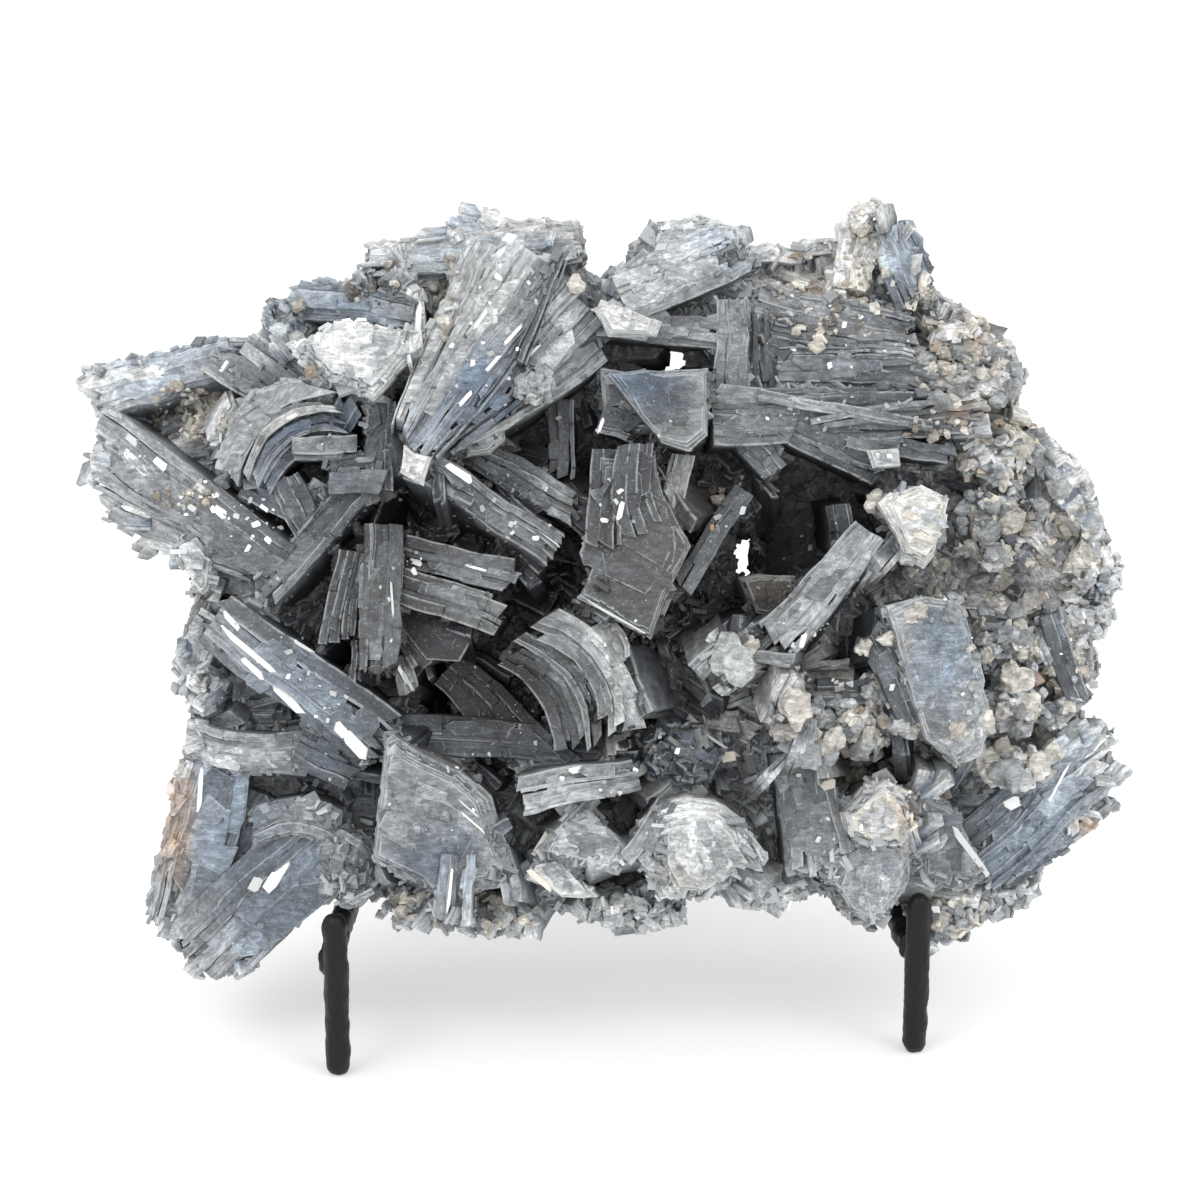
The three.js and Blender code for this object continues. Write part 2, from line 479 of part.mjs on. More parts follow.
// Only the outer skin is kept: pockets sealed inside the rock are filled.
function outerSkin(mesh) {
  const { vertProperties: spots, triVerts: faces, numProp } = mesh;
  const group = Array.from({ length: spots.length / numProp }, (_, k) => k);
  const find = (k) => {
    while (group[k] !== k) k = group[k] = group[group[k]];
    return k;
  };
  for (let k = 0; k < faces.length; k += 3) {
    group[find(faces[k])] = find(faces[k + 1]);
    group[find(faces[k + 2])] = find(faces[k + 1]);
  }
  const counts = {};
  for (let k = 0; k < faces.length; k += 3) {
    const skin = find(faces[k]);
    counts[skin] = (counts[skin] ?? 0) + 1;
  }
  const largest = Number(Object.keys(counts).sort((a, b) => counts[b] - counts[a])[0]);
  const geometry = new THREE.BufferGeometry();
  const places = new Float32Array((spots.length / numProp) * 3);
  for (let k = 0; k < places.length; k++) places[k] = spots[Math.floor(k / 3) * numProp + (k % 3)];
  geometry.setAttribute('position', new THREE.BufferAttribute(places, 3));
  const kept = [];
  for (let k = 0; k < faces.length; k += 3) {
    if (find(faces[k]) === largest) kept.push(faces[k], faces[k + 1], faces[k + 2]);
  }
  geometry.setIndex(kept);
  return geometry;
}

const barite = new THREE.MeshStandardMaterial({ color: 0x8b9096, roughness: 0.4, metalness: 0 });
const clusterMesh = new THREE.Mesh(outerSkin(cluster.getMesh()), barite);
clusterMesh.name = 'barite_cluster';
clusterMesh.position.copy(face.position);
clusterMesh.rotation.copy(face.rotation);

const model = new THREE.Group();
model.add(clusterMesh, stand);
model.position.set(...BOX_SHIFT, 0);

export default model;
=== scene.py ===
import json
import math

import bmesh
import bpy
import numpy as np
from mathutils import Matrix, Vector, noise
from mathutils.bvhtree import BVHTree

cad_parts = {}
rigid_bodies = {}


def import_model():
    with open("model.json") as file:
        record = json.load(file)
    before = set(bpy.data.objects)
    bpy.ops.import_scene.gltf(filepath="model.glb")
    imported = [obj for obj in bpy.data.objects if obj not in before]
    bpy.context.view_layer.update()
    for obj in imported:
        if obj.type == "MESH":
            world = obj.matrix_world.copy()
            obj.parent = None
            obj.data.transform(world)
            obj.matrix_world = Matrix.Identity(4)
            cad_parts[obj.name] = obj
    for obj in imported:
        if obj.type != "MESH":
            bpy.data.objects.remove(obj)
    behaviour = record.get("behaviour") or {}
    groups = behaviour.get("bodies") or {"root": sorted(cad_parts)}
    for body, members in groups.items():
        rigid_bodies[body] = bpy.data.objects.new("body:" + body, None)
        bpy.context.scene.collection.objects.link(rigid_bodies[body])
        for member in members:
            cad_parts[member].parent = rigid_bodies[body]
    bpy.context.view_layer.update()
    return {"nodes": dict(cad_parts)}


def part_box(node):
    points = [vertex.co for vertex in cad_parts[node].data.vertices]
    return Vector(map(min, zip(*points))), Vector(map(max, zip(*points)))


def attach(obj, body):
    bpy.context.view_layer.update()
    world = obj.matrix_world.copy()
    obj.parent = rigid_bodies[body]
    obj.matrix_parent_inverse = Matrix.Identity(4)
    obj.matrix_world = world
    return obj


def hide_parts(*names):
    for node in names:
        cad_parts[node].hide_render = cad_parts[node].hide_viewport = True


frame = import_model()
MM = 0.001

# View
# The camera stands in front, level with the plate's lean, so that it sees the crystal face
# square on and looks down on the floor by the same angle.

LEAN = math.radians(13.3)
FACE_CENTRE = np.array((-0.4, -21.34, 108.5))
FACE_AXES = np.array(((1, 0, 0), (0, math.sin(LEAN), math.cos(LEAN)), (0, -math.cos(LEAN), math.sin(LEAN))))
EYE = 540  # mm from the face
LENS = 64.74


def to_world(spots):
    """Places on the face (x right, y up the face, z out of it, in mm) as places in the frame, in metres."""
    return (FACE_CENTRE + np.asarray(spots, float) @ FACE_AXES) * MM


eye = Vector(to_world((0, 0, EYE)))
camera = bpy.data.objects.new("camera", bpy.data.cameras.new("camera"))
camera.location = eye
camera.rotation_euler = (Vector(to_world((0, 0, 0))) - eye).to_track_quat("-Z", "Y").to_euler()
camera.data.lens = LENS
camera.data.clip_start = 0.01
bpy.context.scene.collection.objects.link(camera)
bpy.context.scene.camera = camera

# Stand
# Ten lengths of quarter-inch round iron, cut, bent nowhere and welded. A brushed-on black
# coating lies over it unevenly, fills the corners at the welds, and is chipped at a few spots.


class Value:
    """An output socket that can be used in sums, so that a finish reads as arithmetic."""

    def __init__(self, tree, socket):
        self.tree = tree
        self.socket = socket

    def maths(self, operation, *others):
        return self.tree.node("ShaderNodeMath", {"operation": operation}, dict(enumerate(others)))

    def output(self, name):
        """Another output of the same node."""
        return Value(self.tree, self.socket.node.outputs[name])

    def __add__(self, other):
        return self.maths("ADD", self, other)

    def __sub__(self, other):
        return self.maths("SUBTRACT", self, other)

    def __rsub__(self, other):
        return self.maths("SUBTRACT", other, self)

    def __mul__(self, other):
        return self.maths("MULTIPLY", self, other)

    __radd__ = __add__
    __rmul__ = __mul__


class Tree:
    """A node tree: every node in it comes from one method."""

    def __init__(self, nodes):
        self.nodes = nodes
        nodes.nodes.clear()

    def node(self, kind, settings=None, inputs=None, output=0):
        made = self.nodes.nodes.new(kind)
        for key, value in (settings or {}).items():
            setattr(made, key, value)
        for key, value in (inputs or {}).items():
            if isinstance(value, Value):
                self.nodes.links.new(value.socket, made.inputs[key])
            else:
                made.inputs[key].default_value = value
        return Value(self, made.outputs[output]) if made.outputs else None


class Finish(Tree):
    """A material."""

    def __init__(self, name):
        self.material = bpy.data.materials.new(name)
        self.material.use_nodes = True
        super().__init__(self.material.node_tree)

    def places(self):
        return self.node("ShaderNodeTexCoord", output="Object")

    def scaled(self, vector, scale):
        return self.node("ShaderNodeVectorMath", {"operation": "MULTIPLY"}, {0: vector, 1: scale})

    def cloud(self, vector, scale, detail=3, rough=0.55):
        inputs = {"Vector": vector, "Scale": scale, "Detail": detail, "Roughness": rough}
        return self.node("ShaderNodeTexNoise", {"noise_dimensions": "3D"}, inputs)

    def between(self, value, low, high):
        """0 below low, 1 above high, and smooth in between."""
        inputs = {"Value": value, "From Min": low, "From Max": high}
        return self.node("ShaderNodeMapRange", {"interpolation_type": "SMOOTHSTEP"}, inputs)

    def mix(self, share, first, second):
        first, second = ((*c, 1) if isinstance(c, tuple) else c for c in (first, second))
        return self.node("ShaderNodeMix", {"data_type": "RGBA"}, {0: share, 6: first, 7: second}, 2)

    def surface(self, relief, strength, depth, **inputs):
        """Ends the finish: a Principled shader whose normal follows the relief."""
        raised = {"Strength": strength, "Distance": depth * MM, "Height": relief}
        bump = self.node("ShaderNodeBump", {}, raised)
        named = {key.replace("_", " ").title().replace("Ior", "IOR"): value for key, value in inputs.items()}
        shader = self.node("ShaderNodeBsdfPrincipled", {}, {"Normal": bump, **named})
        self.node("ShaderNodeOutputMaterial", {}, {"Surface": shader})
        return self.material


COAT_BLACK = (0.003, 0.0035, 0.0045)
COAT_WORN = (0.014, 0.0145, 0.0165)
CHIP_PINK = (0.42, 0.34, 0.31)
CHIPS = ((-67.9, -65.5, 34.5), (-67.6, -65.6, 37.0), (-67.3, -65.7, 27.5), (-66.6, -65.7, 20.0))
CHIP_RADIUS = 1.1


def coating():
    finish = Finish("black_coating")
    spots = finish.places()
    lumps = finish.cloud(spots, 260)
    grain = finish.cloud(spots, 1500, detail=2)
    worn = finish.between(finish.cloud(spots, 420, detail=4), 0.56, 0.72)
    ragged = (grain - 0.5) * 0.9 * MM
    chipped = 0
    for chip in CHIPS:
        place = tuple(v * MM for v in chip)
        away = finish.node("ShaderNodeVectorMath", {"operation": "DISTANCE"}, {0: spots, 1: place}, "Value")
        chipped = chipped + (1 - finish.between(away + ragged, 0.6 * CHIP_RADIUS * MM, CHIP_RADIUS * MM))
    black = finish.mix(worn * 0.6, COAT_BLACK, COAT_WORN)
    colour = finish.mix(chipped.maths("MINIMUM", chipped, 1), black, CHIP_PINK)
    roughness = 0.34 + lumps * 0.16 + worn * 0.18
    relief = lumps * 0.7 + grain * 0.3
    return finish.surface(relief, 0.5, 0.5, base_color=colour, roughness=roughness, specular_ior_level=0.3)


def remeshed(node, voxel, cutters=()):
    """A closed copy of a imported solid, less the cutters, with small even faces."""
    body = bpy.data.objects.new(node + "_copy", frame["nodes"][node].data.copy())
    merged = bmesh.new()
    merged.from_mesh(body.data)
    bmesh.ops.remove_doubles(merged, verts=merged.verts, dist=1e-6)
    merged.to_mesh(body.data)
    merged.free()
    bpy.context.scene.collection.objects.link(body)
    for cutter in cutters:
        change = body.modifiers.new("opening", "BOOLEAN")
        change.object = cutter
    change = body.modifiers.new("even", "REMESH")
    change.mode = "VOXEL"
    change.voxel_size = voxel * MM
    mesh = evaluated(body)
    for used in (body, *cutters):
        bpy.data.objects.remove(used)
    return mesh


def evaluated(body):
    """The mesh of an object with its modifiers applied."""
    graph = bpy.context.evaluated_depsgraph_get()
    return bpy.data.meshes.new_from_object(body.evaluated_get(graph))


def spots_of(mesh, what="co"):
    values = np.empty(len(mesh.vertices) * 3, np.float32)
    source = mesh.vertices if what == "co" else mesh.vertex_normals
    source.foreach_get("co" if what == "co" else "vector", values)
    return values.reshape(-1, 3).astype(float)


def rough(spots, scale, seed, octaves=3):
    """Noise from about -1 to 1 at each place; scale is the size of its lumps in metres."""
    shift = Vector((seed * 7.3, seed * 3.1, seed * 5.7))
    return np.array([noise.fractal(Vector(s) / scale + shift, 1.0, 2.0, octaves) for s in spots])


def shown(name, mesh, material, smooth=True):
    """A piece of the object: it rides on the one body and takes its finish from a slot."""
    mesh.name = name
    mesh.materials.clear()
    mesh.materials.append(material)
    mesh.polygons.foreach_set("use_smooth", [smooth] * len(mesh.polygons))
    piece = bpy.data.objects.new(name, mesh)
    bpy.context.scene.collection.objects.link(piece)
    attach(piece, "root")
    return piece


RODS = ("front_leg_left", "front_leg_right", "shelf_arm_left", "shelf_arm_right", "back_upright_left",
        "back_upright_right", "cross_bar_low", "cross_bar_high", "rear_strut", "strut_stay")
COAT_VOXEL = 0.65
COAT_LUMPS = ((4.5, 0.32), (1.6, 0.1))  # size and height of the coating's unevenness
black_coating = coating()
for seed, rod in enumerate(RODS):
    mesh = remeshed(rod, COAT_VOXEL)
    around = bmesh.new()
    around.from_mesh(mesh)
    for _ in range(3):
        bmesh.ops.smooth_vert(around, verts=around.verts, factor=0.5, use_axis_x=True, use_axis_y=True,
                              use_axis_z=True)
    around.to_mesh(mesh)
    around.free()
    spots, normals = spots_of(mesh), spots_of(mesh, "normal")
    for size, height in COAT_LUMPS:
        spots += normals * (rough(spots, size * MM, seed) * height * MM)[:, None]
    spots[:, 2] = np.maximum(spots[:, 2], 0)
    mesh.vertices.foreach_set("co", spots.ravel())
    piece = shown(rod + "_coated", mesh, black_coating)
    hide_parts(rod)

# Welds
# A bead of molten iron where two rods meet, smaller than the rods, under the same coating.

BEAD_RADIUS = 2.9
BEAD_SQUASH = (1.15, 0.8, 1.3)


def middle(node):
    low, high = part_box(node)
    return (low + high) / 2


def bead_places():
    low_bar, high_bar, stay = (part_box(n) for n in ("cross_bar_low", "cross_bar_high", "strut_stay"))
    for side in ("left", "right"):
        leg, arm, upright = (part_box(f"{n}_{side}") for n in ("front_leg", "shelf_arm", "back_upright"))
        across = middle(f"back_upright_{side}").x
        yield Vector(((middle(f"front_leg_{side}").x + across) / 2, leg[1].y, middle(f"shelf_arm_{side}").z))
        yield Vector((across, upright[0].y + BEAD_RADIUS * MM, (arm[1].z + upright[0].z) / 2))
        for bar in (low_bar, high_bar):
            yield Vector((across, bar[0].y, (bar[0].z + bar[1].z) / 2))
    across = middle("strut_stay").x
    yield Vector((across, high_bar[1].y, middle("cross_bar_high").z))
    yield Vector((across, stay[0].y, middle("strut_stay").z))
    yield Vector((across, stay[1].y, middle("strut_stay").z))


beads = bmesh.new()
for place in bead_places():
    size = Matrix.Diagonal((*(BEAD_RADIUS * MM * s for s in BEAD_SQUASH), 1))
    bmesh.ops.create_icosphere(beads, subdivisions=4, radius=1, matrix=Matrix.Translation(place) @ size)
mesh = bpy.data.meshes.new("weld_beads")
beads.to_mesh(mesh)
beads.free()
spots, normals = spots_of(mesh), spots_of(mesh, "normal")
spots += normals * (rough(spots, 2.4 * MM, 31) * 0.45 * MM)[:, None]
mesh.vertices.foreach_set("co", spots.ravel())
shown("weld_beads", mesh, black_coating)

# Rock mass
# What the crystals grew on: intergrown barite in the middle, darkened there as painted shade of its hollows,
# sand and crumbs bound together on the right and at the upper left, dull broken rock at the back.

TONES = {
    "dark": (0.026, 0.030, 0.036),
    "slate": (0.064, 0.071, 0.081),
    "grey": (0.140, 0.148, 0.157),
    "mist": (0.270, 0.282, 0.290),
    "pale": (0.460, 0.475, 0.475),
    "white": (0.700, 0.710, 0.710),
    "navy": (0.048, 0.060, 0.080),
    "blue": (0.125, 0.152, 0.186),
    "deep": (0.100, 0.142, 0.205),
    "sky": (0.255, 0.287, 0.320),
    "ice": (0.465, 0.500, 0.522),
    "lilac": (0.260, 0.265, 0.300),
    "cream": (0.560, 0.535, 0.480),
    "sand": (0.400, 0.370, 0.320),
    "tan": (0.290, 0.235, 0.180),
    "brown": (0.085, 0.074, 0.065),
    "orange": (0.480, 0.300, 0.165),
}
# Sandy ground: middle and half widths on the face, and how sandy.
SANDY = (
    ((112, 14), (22, 62), 1.0),
    ((88, 66), (34, 22), 0.9),
    ((100, -20), (24, 40), 0.8),
    ((68, -30), (22, 18), 0.8),
    ((60, 70), (26, 16), 0.6),
    ((-101, 46), (13, 9), 0.9),
    ((-60, 76), (9, 7), 0.6),
    ((-40, 75), (8, 12), 0.5),
)
# Parts that are darker or paler than their tones say: partly their own colour, partly painted light and
# shade.
SHADES = (
    # middle and half widths on the face, and by how much
    ((-76, 43), (17, 15), 0.53), ((-28, 60), (22, 30), 0.68), ((17, 50), (17, 14), 0.43),
    ((12, 14), (18, 32), 0.47), ((66, 51), (32, 9), 0.8), ((-28, -22), (20, 16), 0.2),
    ((-52, 0), (18, 30), 0.56), ((-37, -58), (24, 24), 0.68), ((-92, -67), (24, 24), 0.72),
    ((-30, 90), (32, 10), 1.35), ((62, 77), (32, 14), 1.3), ((105, 18), (22, 44), 1.34),
    ((59, 4), (14, 16), 1.3), ((35, -36), (22, 14), 1.25), ((34, 88), (14, 8), 1.1),
    ((87, 18), (12, 16), 0.86), ((26, -61), (18, 14), 0.86), ((-85, -16), (18, 16), 0.9),
)
SHADED_MIDDLE = ((-6, 2), (80, 50))  # middle and half widths of the hollow middle, where ground and crystals are darkened as painted shade
RIM_WIDTH = 0.55
# pale frost, which at the rims also serves as painted light shining through thin edges
FROST_AND_EDGE_LIGHT = (0.72, 0.74, 0.75)
LIGHTEST = 0.60


def tone(name):
    return np.array(TONES[name])


def soft_spot(spots, centre, widths):
    """1 in the middle of an oval on the face, 0 outside it."""
    away = np.hypot((spots[:, 0] - centre[0]) / widths[0], (spots[:, 1] - centre[1]) / widths[1])
    return np.clip(1.6 * (1 - away), 0, 1)


def lightness(spots):
    """A factor on the crystals' colour: lower in the hollow middle as painted shade, then changed part by
    part by SHADES.
    """
    light = 1.22 - 0.42 * np.clip(1.5 * soft_spot(spots, *SHADED_MIDDLE), 0, 1)
    for centre, widths, share in SHADES:
        light = light * (1 + (share - 1) * np.clip(1.5 * soft_spot(spots, centre, widths), 0, 1))
    return light


def sandiness(spots):
    return np.max([soft_spot(spots, centre, widths) * share for centre, widths, share in SANDY], axis=0)


def ground_tint(spots, chance):
    """Colour of the ground between the crystals, by its place on the face; chance (0 to 1) varies it."""
    heart = np.clip(1.8 * soft_spot(spots, *SHADED_MIDDLE), 0, 1)[:, None]
    behind = np.clip((-spots[:, 2] - 30) / 8, 0, 1)[:, None]
    chance = chance[:, None]
    colour = tone("grey") * (1 - chance) + tone("mist") * chance
    # painted shade: the ground in the hollow middle is made dark
    colour = colour * (1 - heart) + tone("dark") * (0.1 + 0.4 * chance) * heart
    sandy = sandiness(spots)[:, None] * (1 - 0.6 * heart)
    grit = tone("sand") * (1 - chance) + tone("cream") * chance
    colour = colour * (1 - sandy) + grit * (0.7 + 0.5 * chance) * sandy
    patch = np.array([[noise.fractal(Vector(s) / 24, 1.0, 2.0, 5)] for s in spots]) * 3 + 0.4
    patch = np.clip(patch, 0, 1)
    back = (tone("slate") * (1 - patch) + tone("sand") * patch) * (0.55 + 0.7 * chance)
    return colour * (1 - behind) + back * behind


def barite():
    """Frosted crystal, cloudy and streaked along its length. Its rims are pale with frost and with painted
    light that shines through thin edges; what lies deep behind its front is darkened as painted shade; faces
    marked as glints are painted white and glossy.
    """
    finish = Finish("barite_crystal")
    tint = finish.node("ShaderNodeAttribute", {"attribute_name": "tint"}, output="Color")
    grain = finish.node("ShaderNodeAttribute", {"attribute_name": "grain"}, output="Vector")
    edge = finish.node("ShaderNodeAttribute", {"attribute_name": "edge"}, output="Vector")
    # behind: depth under a crystal's front, for painted shade; the third value marks painted glints, which
    # are also glossy
    inset, behind, gloss_and_painted_glint = (finish.node("ShaderNodeSeparateXYZ", {}, {0: edge}, axis) for axis in "XYZ")
    streak = finish.cloud(finish.scaled(grain, (0.10, 1.5, 0.7)), 1, detail=2, rough=0.7)
    cloud = finish.cloud(grain, 0.33, detail=4, rough=0.65)
    frost = finish.cloud(finish.places(), 1700, detail=2, rough=0.8)
    ragged = inset + (frost - 0.5) * 0.9
    # shallow: near the front of a crystal, outside the painted shade of its recesses
    shallow = 1 - finish.between(behind, 0.2, 2.5)
    # pale frosted rims at the plate edges, which also paint the light shining through thin edges: partly
    # painted light
    rim = (1 - finish.between(ragged, 0.0, RIM_WIDTH)) * finish.between(cloud, 0.33, 0.53) * shallow
    wisps = finish.cloud(finish.scaled(grain, (0.3, 0.75, 0.5)), 1, detail=3, rough=0.7)
    veil = finish.between(wisps, 0.50, 0.56)
    # painted shade: the deeper behind a crystal's front, the darker, by up to three quarters
    deep = finish.between(behind, 0.3, 11)
    speck = finish.between(frost, 0.60, 0.70) * shallow
    mottle = finish.cloud(finish.scaled(grain, (0.55, 1.3, 1.0)), 1, detail=3, rough=0.75)
    smoke = finish.cloud(finish.places(), 85, detail=2)
    light = (0.76 + streak * 0.44) * (0.15 + cloud * 1.5) * (1 + veil * 0.45) * (1 - deep * 0.75)
    # faces marked as glints show their white tint in full, as a painted highlight
    light = light * (0.1 + mottle * 1.8) * (0.35 + smoke * 1.3) * (1 - gloss_and_painted_glint) + gloss_and_painted_glint
    shade = finish.node("ShaderNodeCombineXYZ", {}, {0: light, 1: light, 2: light})
    body = finish.node("ShaderNodeVectorMath", {"operation": "MULTIPLY"}, {0: tint, 1: shade})
    frosted = finish.mix(0.45, tint, FROST_AND_EDGE_LIGHT)
    colour = finish.mix(rim * 0.8, body, frosted)
    colour = finish.mix(speck * 0.55, colour, frosted)
    roughness = (0.46 + cloud * 0.2) * (1 - gloss_and_painted_glint * 0.7)
    relief = frost * 0.5 + cloud * 0.8
    return finish.surface(relief, 0.45, 0.5, base_color=colour, roughness=roughness,
                          specular_ior_level=0.45, ior=1.64)


def dressed(mesh, tints, grains, edges):
    """Puts the values that the crystal finish reads on a mesh."""
    colours = np.ones((len(tints), 4), np.float32)
    colours[:, :3] = tints
    mesh.attributes.new("tint", "FLOAT_COLOR", "POINT").data.foreach_set("color", colours.ravel())
    for name, values in (("grain", grains), ("edge", edges)):
        made = mesh.attributes.new(name, "FLOAT_VECTOR", "POINT")
        made.data.foreach_set("vector", np.asarray(values, np.float32).ravel())


def to_face(spots):
    return (np.asarray(spots) / MM - FACE_CENTRE) @ FACE_AXES.T


def solid_faces(mesh):
    """The places and faces of a mesh, as a search tree takes them."""
    return [tuple(s) for s in spots_of(mesh)], [tuple(face.vertices) for face in mesh.polygons]


def near(z):
    """What stands nearer the eye is drawn in towards the middle of the face."""
    return 1 - z / EYE


SHAFT_SIDES = 14


def opening(x, y, width, height):
    """A shaft along the line of sight, as wide as a gap that shows the light behind the rock."""
    rings = []
    for z in (60, -80):
        for turn in np.linspace(0, 2 * math.pi, SHAFT_SIDES, endpoint=False):
            reach = 1 + 0.12 * math.sin(2 * turn + x) + 0.08 * math.sin(5 * turn)
            place = np.array((x + width * reach * math.cos(turn), y + height * reach * math.sin(turn)))
            rings.append(to_world((*place * near(z), z)))
    mesh = bpy.data.meshes.new("opening")
    front, back = range(SHAFT_SIDES), range(SHAFT_SIDES, 2 * SHAFT_SIDES)
    sides = [(back[k], back[(k + 1) % SHAFT_SIDES], front[(k + 1) % SHAFT_SIDES], k) for k in front]
    mesh.from_pydata(rings, [], [*sides, tuple(front), tuple(reversed(back))])
    body = bpy.data.objects.new("opening", mesh)
    bpy.context.scene.collection.objects.link(body)
    return body


GAPS = ((15.2, 59.8, 6.0, 3.3), (36.0, 11.3, 2.4, 5.6))  # openings right through: middle, half widths
ROCK_VOXEL = 1.7
UNDER_THE_RIM = 5.0  # mm from an edge, for ground that has none
barite_finish = barite()
rock = remeshed("barite_cluster", ROCK_VOXEL, [opening(*gap) for gap in GAPS])
spots, normals = spots_of(rock), spots_of(rock, "normal")
worn = rough(spots, 6 * MM, 3, 4)
broken_off = rough(spots, 15 * MM, 8, 3)
at_back = np.clip((-to_face(spots)[:, 2] - 22) / 8, 0, 1)
hollow = at_back * np.clip(1.6 * broken_off + 1.0, 0, 2.4) * 1.6
spots += normals * ((worn * (0.9 + 0.5 * at_back) - 1.2 - 0.5 * at_back - hollow) * MM)[:, None]
rock.vertices.foreach_set("co", spots.ravel())
on_face = to_face(spots)
fine = np.clip(0.5 + 0.7 * rough(spots, 2.5 * MM, 5, 2), 0, 1)
edges = np.tile((UNDER_THE_RIM, 0.0, 0.0), (len(spots), 1))
dressed(rock, ground_tint(on_face, fine) * lightness(on_face)[:, None], on_face, edges)
rock_mass = shown("rock_mass", rock, barite_finish, smooth=False)
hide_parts("barite_cluster")

# Crystals at the upper left
# Tabular barite in stacks of thin parallel plates, grown together at their roots. Where a
# stack is seen edge-on it looks like a striped blade, and face-on like a stepped terrace.

PLATE = 2.2  # mm, a common thickness of one plate
BEVEL = 0.16
STEP_RUN = 0.15
STEP_RISE = 0.4
CONTRAST = 0.24  # how much the plates of a stack differ in tone
ROW_SPACING = 3.0
AROUND = 7  # corners round a plate
LEDGE = 1.8
LAYER = 1.4
FLAKE_AREA = 26  # mm2 of a crystal for each thin flake on it
ENDS = {
    "square": lambda s: 0 * s,
    "slant": lambda s: 0.5 + s,
    "back": lambda s: 0.5 - s,
    "point": lambda s: 2 * np.abs(s),
    "round": lambda s: 4 * s * s,
}


def on_plate(spot):
    x, y, z = spot
    return np.array((x * near(z), y * near(z), z))


def unit(vector):
    return vector / np.linalg.norm(vector)


def turned(vector, axis, degrees):
    return np.array(Matrix.Rotation(math.radians(degrees), 3, Vector(axis)) @ Vector(vector))


grown = []  # the meshes of the crystals
runs = []  # where the long crystals lie on the face: x, y, direction and look
UNEVEN = ((14, 1.1), (5, 0.42), (2.2, 0.14))  # size and height of what bends the crystals, in mm
noise.seed_set(5)


def uneven(spots):
    """Bends crystals a little, all of them together, as growth does."""
    bent = spots.copy()
    for size, height in UNEVEN:
        bent += np.array([noise.noise_vector(Vector(s) / size) for s in spots]) * height
    return bent


STAINS = (
    # iron stains: middle and half widths on the face, tone and strength
    ((-105, -53), (7, 24), "orange", 0.55), ((122, -56), (6, 3), "orange", 0.6),
    ((74, -52), (5, 9), "orange", 0.6), ((17.5, -66), (7, 5), "sand", 0.5),
    ((109, -19.5), (3, 3), "orange", 0.7), ((107, 44), (4, 4), "orange", 0.6),
    ((105, 20), (3, 3), "orange", 0.6), ((75, -10), (2.5, 3), "orange", 0.6),
    ((66, 88), (6, 8), "sand", 0.6), ((88, 47), (10, 4), "orange", 0.35), ((50, 80), (14, 8), "tan", 0.4),
    ((25, 26), (4, 4), "tan", 0.5), ((58, -42), (4, 4), "orange", 0.4), ((-56, 79), (5, 5), "brown", 0.6),
    ((34, -39), (4, 2.5), "orange", 0.4),
)


def stained(spots, tints):
    for centre, widths, name, strength in STAINS:
        share = soft_spot(spots, centre, widths) * strength
        share = share * np.clip(0.9 + 1.6 * np.array([noise.noise(Vector(s) * 0.45) for s in spots]), 0, 1)
        tints = tints * (1 - share[:, None]) + tone(name) * share[:, None]
    return tints


